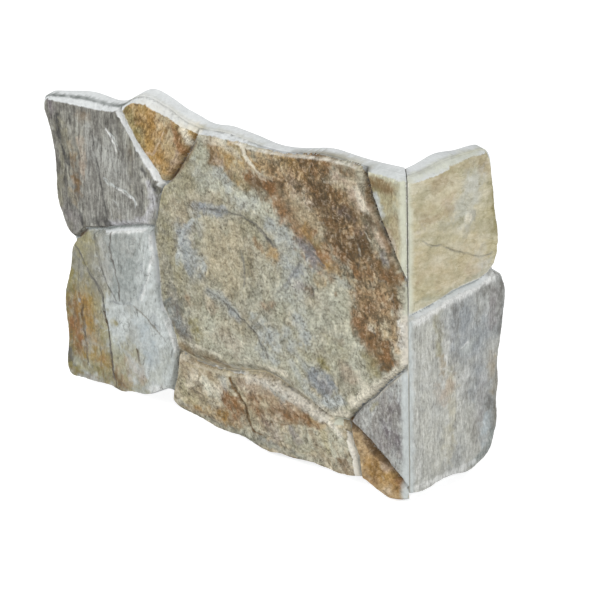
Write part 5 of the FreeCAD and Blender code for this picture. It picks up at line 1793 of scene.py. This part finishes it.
# %% Spread the adhesive film
FILM_HALF = 0.49 / 1000
FILM_ENDS = ((0.0, 8.8, 312.9), (13.2, 11.2, 308.7), (18.8, 13.0, 305.6))   # out, bottom, top
FILM_OUT = 18.83     # how far out the slabs' worn ends meet, from the inner arris
FILM_STEPS = 74      # points along the film's front edge


def film_edge(high, rng):
    """How far out from the inner arris the film reaches at a height, in millimetres."""
    back = 0.35 + 0.55 * ramp(high, 180.0, 196.0)
    return FILM_OUT - back + rng.uniform(-0.08, 0.08)


def adhesive_film():
    rng = np.random.default_rng(17)
    low, high = FILM_ENDS[-1][1:]
    outline = [(out, bottom) for out, bottom, top in FILM_ENDS[:-1]]
    outline += [(film_edge(z, rng), z) for z in np.linspace(low, high, FILM_STEPS)]
    outline += [(out, top) for out, bottom, top in FILM_ENDS[-2::-1]]
    along = Vector((1, -1, 0)).normalized() / 1000
    across = Vector((1, 1, 0)).normalized() * FILM_HALF
    points = [along * out + Vector((0, 0, z / 1000)) + across * side
              for side in (-1, 1) for out, z in outline]
    count = len(outline)
    faces = [tuple(range(count)), tuple(range(2 * count - 1, count - 1, -1))]
    faces += [(k, k + count, (k + 1) % count + count, (k + 1) % count) for k in range(count)]
    mesh = bpy.data.meshes.new("adhesive_film")
    mesh.from_pydata([tuple(p) for p in points], [], faces)
    form = bmesh.new()
    form.from_mesh(mesh)
    bmesh.ops.recalc_face_normals(form, faces=form.faces)
    form.to_mesh(mesh)
    form.free()
    film = add("adhesive_film", mesh)
    mesh.materials.append(adhesive)
    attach(film, "root")
    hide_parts("mitre_adhesive")
    return film


film = adhesive_film()
print(film.name, "points", len(film.data.vertices))

# %% [markdown]
# ## Camera
#
# The photograph was taken with a long lens from in front of the corner, a little above
# it. The angles and the distance were found from the outline of the piece.

# %% Aim the camera
azimuth, elevation, roll = (math.radians(v) for v in (44.0, 19.8, -1.6))
DISTANCE = 1.7952
LENS, SENSOR = 122.4, 36.0
AIM_RIGHT, AIM_DOWN = 0.0957, 0.0361   # the seam's middle, right of and below the picture's centre

back = Vector((math.sin(azimuth) * math.cos(elevation), -math.cos(azimuth) * math.cos(elevation),
               math.sin(elevation)))
level = Vector((math.cos(azimuth), math.sin(azimuth), 0))
upright = level.cross(-back)
right = level * math.cos(roll) + upright * math.sin(roll)
upward = upright * math.cos(roll) - level * math.sin(roll)
seam = Vector((SLAB, -SLAB, MIDDLE)) / 1000
place = seam - right * AIM_RIGHT + upward * AIM_DOWN + back * DISTANCE
camera = add("camera", bpy.data.cameras.new("camera"))
camera.data.lens = LENS
camera.data.sensor_width = SENSOR
camera.matrix_world = Matrix((
    (right.x, upward.x, back.x, place.x), (right.y, upward.y, back.y, place.y),
    (right.z, upward.z, back.z, place.z), (0, 0, 0, 1)))
bpy.context.scene.camera = camera
print("camera", tuple(round(v, 3) for v in place))

# %% [markdown]
# ## Light and floor
#
# Two large soft lamps and a pale surrounding light the piece evenly, as in a studio.
# The floor and the world look white to the camera through Light Path, so the lamps
# needn't be strong, and the floor still takes the soft shadow.

# %% Lamps
PIECE_MIDDLE = Vector((-0.12, 0.0, 0.16))


def lamp(name, place, size, power):
    """A large soft lamp that looks at the middle of the piece."""
    light = bpy.data.lights.new(name, "AREA")
    light.shape = "SQUARE"
    light.size = size
    light.energy = power
    holder = add(name, light)
    toward = PIECE_MIDDLE - Vector(place)
    holder.location = place
    holder.rotation_mode = "QUATERNION"
    holder.rotation_quaternion = toward.to_track_quat("-Z", "Y")


lamp("lamp_left", (-1.9, -2.1, 1.5), 1.2, 50.0)
lamp("lamp_right", (2.5, -0.7, 1.0), 1.4, 40.0)
print("lamps 2")


# %% World and floor
def seen_directly(tree):
    """1 for rays that show the surface itself, in the camera, in gloss or through glass."""
    path = put(tree, "ShaderNodeLightPath")
    seen = plus(tree, path.outputs["Is Camera Ray"], path.outputs["Is Glossy Ray"], clamp=True)
    return plus(tree, seen, path.outputs["Is Transmission Ray"], clamp=True)


WORLD_LIGHT = 0.55   # strength of the surrounding as a light
FLOOR_GLOW = 0.62    # what makes the grey floor look white to the camera
WHITE = (1.0, 1.0, 1.0, 1.0)
bpy.context.scene.view_settings.view_transform = "Standard"
world = bpy.data.worlds.new("studio")
bpy.context.scene.world = world
world.use_nodes = True
tree = world.node_tree
inputs = {0: seen_directly(tree), 2: WORLD_LIGHT, 3: 1.0}
shown = put(tree, "ShaderNodeMix", inputs, data_type="FLOAT")
join(tree, shown.outputs[0], tree.nodes["Background"].inputs["Strength"])
join(tree, WHITE, tree.nodes["Background"].inputs["Color"])

floor_mesh = bpy.data.meshes.new("floor")
FLOOR_REACH, UNDER = 6.0, 0.0003    # the floor lies just under the piece
corners = ((-1, -1), (1, -1), (1, 1), (-1, 1))
floor_mesh.from_pydata([(FLOOR_REACH * x, FLOOR_REACH * y, 0) for x, y in corners],
                       [], [(0, 1, 2, 3)])
floor = add("floor", floor_mesh)
floor.location.z = cad_box[0][2] - UNDER
material, tree, shader = new_material("finish_floor")
glow = times(tree, seen_directly(tree), FLOOR_GLOW)
for name, value in (("Base Color", (0.72, 0.72, 0.72, 1.0)), ("Roughness", 1.0),
                    ("Specular IOR Level", 0.0), ("Emission Color", WHITE),
                    ("Emission Strength", glow)):
    join(tree, value, shader.inputs[name])
floor_mesh.materials.append(material)
print("floor at", round(floor.location.z, 5))

# %% Sizes
print("cad box", cad_box)
